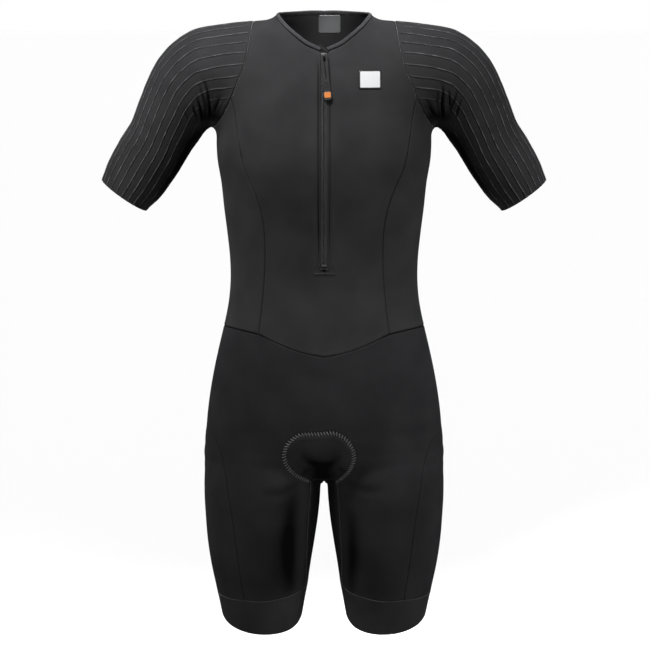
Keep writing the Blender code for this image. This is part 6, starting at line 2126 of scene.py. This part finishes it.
@dataclass
class TriathlonSuit:
    """The whole suit, piece by piece."""

    figure: Figure = field(default_factory=Figure)
    pattern: Pattern = field(init=False)
    finishes: dict[str, bpy.types.Material] = field(init=False)
    trims: Trims = field(init=False)

    def __post_init__(self) -> None:
        """Draw the pattern and mix the finishes."""
        self.pattern = Pattern(self.figure)
        self.finishes = make_finishes()
        self.trims = Trims(self.figure, self.pattern, self.finishes)

    def front_relief(self, points: np.ndarray) -> np.ndarray:
        """Rolled edges beside the zip, and the pressed line of its topstitching."""
        x = np.abs(points[:, 0])
        along = np.clip((points[:, 2] + 0.3480) / 0.006, 0, 1)
        away = x - self.pattern.slit_half
        near = x < 0.03
        roll = 0.0005 * bump(away - 0.0014, 0.0012) - 0.0004 * bump(away, 0.0006)
        roll -= 0.0008 * bump(x - 0.0072, 0.0009) + 0.0006 * bump(x - 0.0126, 0.0009)
        roll += 0.0004 * bump(x - 0.0094, 0.0010)
        roll += 0.0002 * bump(x - 0.0148, 0.0012)
        return np.where(near & (points[:, 2] < -0.03), roll * along, 0.0)

    def pad_relief(self, points: np.ndarray) -> np.ndarray:
        """The seat pad pressing out through the front of the shorts, inside its stitching."""
        outline = np.array(PAD_OUTLINE)
        line = self.figure.faced(outline[:, 0], outline[:, 1], Face.FRONT)
        near = (points[:, 1] < -0.02) & (points[:, 2] > -0.67) & (points[:, 2] < -0.55)
        height = np.zeros(len(points))
        where = points[near]
        middle = np.array([-0.005, -0.606])
        angle = np.arctan2(where[:, 2] - middle[1], where[:, 0] - middle[0])
        rim = outline - middle
        turns = np.arctan2(rim[:, 1], rim[:, 0])
        order = np.argsort(turns)
        reach = np.interp(angle, turns[order], np.hypot(*rim.T)[order], period=2 * np.pi)
        share = np.hypot(where[:, 0] - middle[0], where[:, 2] - middle[1]) / reach
        dome = 0.0022 * np.clip(1 - share ** 2, 0, 1) ** 0.7
        away, _ = nearest_on(where, line)
        height[near] = dome - 0.0009 * bump(away, 0.0022) + 0.0004 * bump(away - 0.0055, 0.0025)
        return height

    def cloth(self) -> None:
        """Make every cut piece of cloth."""
        pattern = self.pattern
        front, back = pattern.front(), pattern.back()
        line = pattern.along(("waist_front", "waist_side_front"), np.linspace(5.6, 10.6, 60)[:-8])
        middle = pattern.along(("waist_front",), np.linspace(0, 1.3, 30))
        middle = np.concatenate([(middle * MIRROR)[::-1], middle[1:]])
        # painted shade along the waist seam's groove, darker at the sides than at the middle
        waist = tuple(Groove(copy, 0.0003, width, painted_shade) for copy, width, painted_shade in (
            (line, 0.0011, 0.75), (line * MIRROR, 0.0011, 0.75), (middle, 0.0009, 0.35)))
        # painted shade, without depth, in the grooves beside the slit, darker on the wearer's right
        heights = np.linspace(-0.0500, -0.3400, 80)
        beside = tuple(Groove(self.figure.faced(np.full(80, x), heights, Face.FRONT), 0.0, 0.0009,
                              shade) for x, shade in ((-0.0072, 0.9), (0.0074, 0.6)))
        depths = np.linspace(-0.055, 0.065, 25)
        dip = self.figure.onto(np.stack([np.full(25, 0.166), depths, np.full(25, -0.6280)], 1),
                               rounds=4)
        hips = tuple(Groove(copy, -0.0022, 0.0100, 0.0) for copy in (dip, dip * MIRROR))
        pieces = [
            ClothPiece("front_panel_cloth", [front, front.mirrored()], "knit",
                       Cut(0.280, 0.450, 0.68), ("side_panel_left_cloth", "side_panel_right_cloth"),
                       ("front_panel",), creases=RIGHT_CHEST_CREASES + LEFT_CHEST_CREASES
                       + CHEST_PAINTED_SHADE + mirrored_creases(CHEST_PAINTED_SHADE),
                       grooves=waist + beside, extra=self.front_relief),
            ClothPiece("back_panel_cloth", [back, back.mirrored()], "knit",
                       Cut(0.270, 0.450, 0.78), ("side_panel_left_cloth", "side_panel_right_cloth"),
                       ("back_panel",), creases=BACK_CREASES)]
        legs = LEG_PAINTED_SHADE + PAD_CREASE_AND_PAINTED_SHADE
        shorts = [(Face.FRONT, CROTCH_CREASES + legs, self.pad_relief),
                  (Face.BACK, SEAT_CREASES + mirrored_creases(LEG_PAINTED_SHADE, Face.BACK), None)]
        for face, creases, extra in shorts:
            nets = pattern.shorts(face)
            word = face.name.lower()
            pieces.append(ClothPiece(
                f"shorts_{word}_cloth", nets + [net.mirrored() for net in nets], "shorts_knit",
                Cut(0.405, 0.420, 0.70), ("outer_leg_left_cloth", "inner_leg_left_cloth"),
                (f"shorts_{word}",), creases=creases, extra=extra, tuck=Tuck(0.0005, 0.0009, 0.0001),
                grooves=hips + (waist if face is Face.FRONT else ())))
        side, outer, inner, band = (pattern.side(), pattern.outer_leg(), pattern.inner_leg(),
                                    pattern.band())
        sleeve = pattern.sleeve()
        arms = {Side.LEFT: LEFT_ARM_CREASES + mirrored_creases(RIGHT_ARM_CREASES, Face.BACK)
                + mirrored_creases(ARM_PAINTED_SHADE) + mirrored_creases(ARM_PAINTED_SHADE, Face.BACK),
                Side.RIGHT: RIGHT_ARM_CREASES + mirrored_creases(LEFT_ARM_CREASES, Face.BACK)
                + ARM_PAINTED_SHADE + mirrored_creases(ARM_PAINTED_SHADE, Face.BACK, flip=False)}
        seams = {Side.LEFT: mirrored_creases(BAND_SEAM), Side.RIGHT: BAND_SEAM}
        for way in Side:
            word = way.name.lower()

            def on(net: Net, chosen: Side = way) -> list[Net]:
                """The net on this side."""
                return [net if chosen is Side.LEFT else net.mirrored()]

            pieces += [
                ClothPiece(f"side_panel_{word}_cloth", on(side), "knit", Cut(0.190, 0.330, 0.777),
                           ("front_panel_cloth", "back_panel_cloth"), (f"side_panel_{word}",),
                           grooves=waist),
                ClothPiece(f"outer_leg_{word}_cloth", on(outer), "shorts_knit",
                           Cut(0.190, 0.250, 0.813), ("shorts_front_cloth", "shorts_back_cloth"),
                           (f"outer_leg_{word}",), tuck=Tuck(0.0004, 0.0009, 0.0001),
                           grooves=hips),
                ClothPiece(f"inner_leg_{word}_cloth", on(inner), "shorts_knit",
                           Cut(0.110, 0.178, 0.81), ("shorts_front_cloth", "shorts_back_cloth"),
                           (f"inner_leg_{word}",)),
                ClothPiece(f"leg_band_{word}_cloth", on(band), "band_knit", Cut(0.385, 0.048, 0.93),
                           ("shorts_front_cloth", "shorts_back_cloth"), (f"leg_band_{word}",),
                           thickness=0.0018, creases=seams[way]),
                ClothPiece(f"sleeve_{word}_cloth", on(sleeve), "ribbed_knit",
                           Cut(0.430, 0.290, 0.706), ("front_panel_cloth", "back_panel_cloth"),
                           (f"sleeve_{word}",), creases=arms[way], ribs=Ribs())]
        for piece in pieces:
            piece.build(self.figure, self.finishes[piece.slot])

    def stitching(self) -> None:
        """Sew every visible row of thread."""
        trims, figure = self.trims, self.figure
        fine = Stitch(length=0.0023, gap=0.0006, radius=0.00028, rise=0.00018)
        zip_rows = []
        for side in Side:
            heights = np.linspace(-0.0400, -0.3400, 240)
            line = figure.faced(np.full(240, side.value * 0.0126), heights, Face.FRONT)
            zip_rows.append(fine.along_line(trims.raised(line, -0.0006)))
        trims.sewn("zip_topstitching", zip_rows, fine, finish="dark_thread")
        self.seam_rows("armhole_stitching", "armhole", ("front", "under", "back"), fine, 160,
                       -0.0001, "knit")
        self.seam_rows("inner_leg_stitching", "inner", ("front", "back"), fine, 80, -0.0002,
                       "shorts_knit")
        self.seam_rows("band_stitching", "band", ("front", "inner", "back", "outer"), fine, 80,
                       -0.0001, "band_knit")
        self.binding_rows()
        self.pad_zigzag()
        self.bartacks()

    def seam_rows(self, name: str, seam: str, stretches: Sequence[str], stitch: Stitch,
                  points: int, out: float, slot: str) -> None:
        """Stitch along a seam on both sides of the body.

        Args:
            name: the piece's name.
            seam: the seam's name.
            stretches: its stretches, each a line of the pattern.
            stitch: the shape of its stitches.
            points: number of points on each stretch.
            out: how far the thread's middle stands out of the figure.
            slot: the record's material slot.
        """
        rows = []
        for stretch in stretches:
            line_name = f"{seam}_{stretch}"
            line = self.pattern.along((line_name,),
                                      np.linspace(0, SEAMS[line_name].cells, points))
            for copy in self.trims.both(line):
                rows.append(stitch.along_line(self.trims.raised(copy, out)))
        self.trims.sewn(name, rows, stitch, "seam_thread", slot)

    def binding_rows(self) -> None:
        """Two rows of stitches along the neck binding."""
        line, normals, rise = self.trims.neck_line()
        small = Stitch(length=0.0016, gap=0.0007, radius=0.0002, rise=0.0001)
        rows = [small.along_line(line + rise * up + normals * 0.0009) for up in (0.0016, 0.0036)]
        self.trims.sewn("binding_stitching", rows, small, finish="dark_thread", slot="trim")

    def pad_zigzag(self) -> None:
        """Zigzag stitching that holds the seat pad, round its front end and up to the seat."""
        outline = np.array(PAD_OUTLINE)
        flat = curved(np.column_stack([outline[:, 0], np.zeros(len(outline)), outline[:, 1]]), 20)
        rising, falling = [], []
        for face in Face:
            wide = 1.0 if face is Face.FRONT else 1.25
            x = (flat[:, 0] + 0.005) * wide - 0.005 * (face is Face.FRONT)
            lift = 0.0 if face is Face.FRONT else 0.012
            line = self.figure.faced(x, flat[:, 2] + lift, face)
            line = even_line(line, 128)
            side = unit(np.cross(np.gradient(line, axis=0), self.figure.outward(line)))
            sway = np.where(np.arange(len(line)) % 2, 0.0034, -0.0034)
            points = self.figure.onto(line + side * sway[:, None], rounds=2)
            points = self.trims.raised(points, 0.0002)
            rising.append((points[:-1:2], points[1::2]))
            falling.append((points[1:-1:2], points[2::2]))
        # painted highlight and painted shade: the rising stitches take a pale copy of the thread,
        # the returning ones a dark copy
        thread = Stitch(radius=0.00048, rise=0.0005)
        self.trims.sewn("pad_zigzag", rising, thread, finish="painted_highlight_thread", slot="shorts_knit")
        self.trims.sewn("pad_zigzag_return", falling, thread, finish="dark_thread",
                        slot="shorts_knit")

    def bartacks(self) -> None:
        """Dense bars of thread below the zip's end: a short one, and a wide one under it."""
        runs = []
        for middle, height, half, rows in ((0.0, -0.3402, 0.0056, 3), (0.0, -0.3466, 0.0140, 4)):
            across = np.arange(-half, half, 0.00075)
            for row in range(rows):
                level = height + (row - (rows - 1) / 2) * 0.00045
                lines = []
                for shift in (0.0, 0.0006):
                    flat = np.full(len(across), level + (shift - 0.0003) * 0.6)
                    lines.append(self.figure.faced(middle + across + shift, flat, Face.FRONT))
                runs.append(tuple(self.trims.raised(line, 0.0004) for line in lines))
        thread = Stitch(radius=0.00034, rise=0.0002)
        self.trims.sewn("zip_bartacks", runs, thread, finish="dark_thread")

    def seat_pad(self) -> None:
        """Seat pad: a saddle of soft foam inside the shorts, crowned and thin at its rim."""
        sections = Slices(("y", "z", "half_width"), (
            (-0.093, -0.5760, 0.0330), (-0.086, -0.5980, 0.0500), (-0.072, -0.6220, 0.0500),
            (-0.040, -0.6400, 0.0400), (0.006, -0.6460, 0.0360), (0.055, -0.6400, 0.0480),
            (0.092, -0.6200, 0.0660), (0.112, -0.5850, 0.0680), (0.117, -0.5500, 0.0450)))
        count = len(sections.rows)
        place = np.linspace(0, count - 1, 97)
        y, z, half = (smooth_curve(np.arange(count), sections[name], place)
                      for name in sections.columns)
        u = np.sin(np.linspace(-np.pi / 2, np.pi / 2, 33))
        grid = np.stack([u[None] * half[:, None], y[:, None] + 0 * u[None],
                         z[:, None] + 0 * u[None]], 2)
        level = -0.0024
        flat = grid.reshape(-1, 3)
        beyond = self.figure.distance(flat) > level
        flat[beyond] = self.figure.onto(flat[beyond], level)
        grid = flat.reshape(grid.shape)
        normals = unit(np.cross(np.gradient(grid, axis=0), np.gradient(grid, axis=1)))
        run = 2 * place / (count - 1) - 1
        swell = np.sqrt(np.clip(1 - u ** 2, 0, 1))[None] * np.sqrt(
            np.clip(1 - run ** 6, 0, 1))[:, None]
        channel = bump(np.abs(u) - 0.42, 0.09)[None] * np.clip(1 - run ** 8, 0, 1)[:, None]
        thick = 0.0016 + 0.0042 * swell - 0.0014 * channel
        far = grid - normals * thick[..., None]
        points = np.concatenate([grid.reshape(-1, 3), far.reshape(-1, 3)])
        shape, size = grid.shape[:2], len(flat)
        faces = np.concatenate([net_faces(shape, True), net_faces(shape, False) + size,
                                self.rim_faces(shape, size)])
        mesh = mesh_of("seat_pad_foam", points, faces)
        turned_outwards(mesh)
        mesh.shade_smooth()
        pad = placed("seat_pad_foam", mesh, self.finishes["foam"], "pad_foam", "suit", "seat_pad")

    @staticmethod
    def rim_faces(shape: tuple[int, int], size: int) -> np.ndarray:
        """Cells that close the rim between a net and the same net further on."""
        ids = np.arange(shape[0] * shape[1]).reshape(shape)
        ring = np.concatenate([ids[:, 0], ids[-1, 1:], ids[-2::-1, -1], ids[0, -2:0:-1]])
        following = np.roll(ring, -1)
        return np.stack([ring, following, following + size, ring + size], 1)

    def build(self) -> None:
        """Make the whole suit."""
        self.cloth()
        self.trims.binding()
        self.trims.garage()
        self.trims.chest_patch()
        self.trims.neck_label()
        self.seat_pad()
        Zip(self.figure, self.finishes).build()
        self.stitching()


@dataclass(frozen=True)
class Film(Finish):
    """Reflective film: a pale face of fine glass beads inside a dark rim."""

    pale: Colour = (0.125, 0.126, 0.128)
    bead: Colour = (0.080, 0.081, 0.083)
    rim: Colour = (0.0008, 0.0008, 0.0008)
    rim_width: float = 0.0021
    pitch: float = 0.0017

    def shade(self, shading: Shading) -> None:
        """Rows of beads inside a dark rim."""
        across, up = shading.weave()
        scale = 2 * math.pi / self.pitch
        dots = ((across * scale).sine() * (up * scale).sine()).step(0.55, 0.9)
        cloud = shading.noise(0.004, 2.0)
        face = shading.mixed((dots * 0.5 + cloud * 0.25).least(1), self.pale, self.bead)
        inside = shading.attribute("to_rim").step(self.rim_width * 0.8, self.rim_width * 1.2)
        shading.colour(shading.mixed(inside, self.rim, face))
        shading.roughness(cloud * 0.2 + 0.32)
        shading.relief(dots, 0.00004)
        shading.set(Specular_IOR_Level=0.1)


@dataclass(frozen=True)
class Print(Finish):
    """Bare transfer print on cloth, paler towards one corner."""

    dark: Colour = (0.0105, 0.0107, 0.0110)
    light: Colour = (0.0260, 0.0265, 0.0272)

    def shade(self, shading: Shading) -> None:
        """The cloth's weave under a slope of tone."""
        across, up = shading.weave()
        weave = ((across * 9000).sine() * (up * 9000).sine()) * 0.5 + 0.5
        cloud = shading.noise(0.01, 3.0)
        slope = (across * 14 - up * 18 + 0.5).most(0).least(1)
        shading.colour(shading.mixed((slope * 0.7 + cloud * 0.3).least(1), self.dark, self.light))
        shading.roughness(cloud * 0.2 + 0.5)
        shading.relief(weave, 0.00003)


def make_finishes() -> dict[str, bpy.types.Material]:
    """Every material of the suit, by name."""
    recipes = {
        "knit": Knit((0.0040, 0.0040, 0.0042), (0.0084, 0.0084, 0.0087), seam_shade=0.22),
        # the ribbed knit's paler colour is a painted highlight on its ribs' crests
        "ribbed_knit": Knit((0.0040, 0.0040, 0.0042), (0.0082, 0.0082, 0.0085),
                            rib_highlight=(0.032, 0.0322, 0.033)),
        "shorts_knit": Knit((0.0029, 0.0029, 0.0031), (0.0062, 0.0062, 0.0065), seam_shade=0.20),
        "band_knit": Knit((0.0035, 0.0035, 0.0037), (0.0074, 0.0074, 0.0077), roughness=0.7,
                          seam_shade=0.25),
        "trim": Knit((0.0055, 0.0055, 0.0058), (0.0120, 0.0120, 0.0125), wale=0.0006,
                     course=0.0012),
        "tape": Knit((0.0022, 0.0022, 0.0023), (0.0055, 0.0055, 0.0057), wale=0.0006,
                     course=0.0006),
        "foam": Moulded((0.004, 0.004, 0.0042), (0.008, 0.008, 0.0085), roughness=0.9,
                        grain=0.0012, depth=0.0002, specular=0.1),
        "seam_thread": Thread((0.013, 0.013, 0.0135), (0.030, 0.030, 0.031)),
        # a paler copy of the zigzag thread: painted highlight on its rising stitches
        "painted_highlight_thread": Thread((0.019, 0.019, 0.0195), (0.040, 0.040, 0.0415)),
        "dark_thread": Thread((0.0012, 0.0012, 0.0012), (0.0035, 0.0035, 0.0036)),
        "teeth": Moulded((0.004, 0.004, 0.0042), (0.010, 0.010, 0.0105), roughness=0.5,
                         specular=0.08),
        "slider": Moulded((0.0050, 0.0050, 0.0052), (0.0140, 0.0140, 0.0145), roughness=0.40,
                          metallic=0.30, specular=0.05),
        "rubber": Moulded((0.0030, 0.0030, 0.0032), (0.0064, 0.0064, 0.0067), roughness=0.6,
                          specular=0.02),
        "tip": Moulded((0.0040, 0.0040, 0.0042), (0.0110, 0.0110, 0.0115), roughness=0.4,
                       metallic=0.30, specular=0.05),
        "orange": Moulded((0.085, 0.0260, 0.0050), (0.115, 0.0370, 0.0075), roughness=0.55,
                          specular=0.05),
        "film": Film(),
        "label": Print(),
    }
    return {name: recipe.material(name) for name, recipe in recipes.items()}


def main() -> None:
    """Make the suit and its studio."""
    logging.basicConfig(level=logging.INFO, format="%(name)s: %(message)s")
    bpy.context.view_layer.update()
    TriathlonSuit().build()
    Studio().build()


if __name__ == "__main__":
    main()
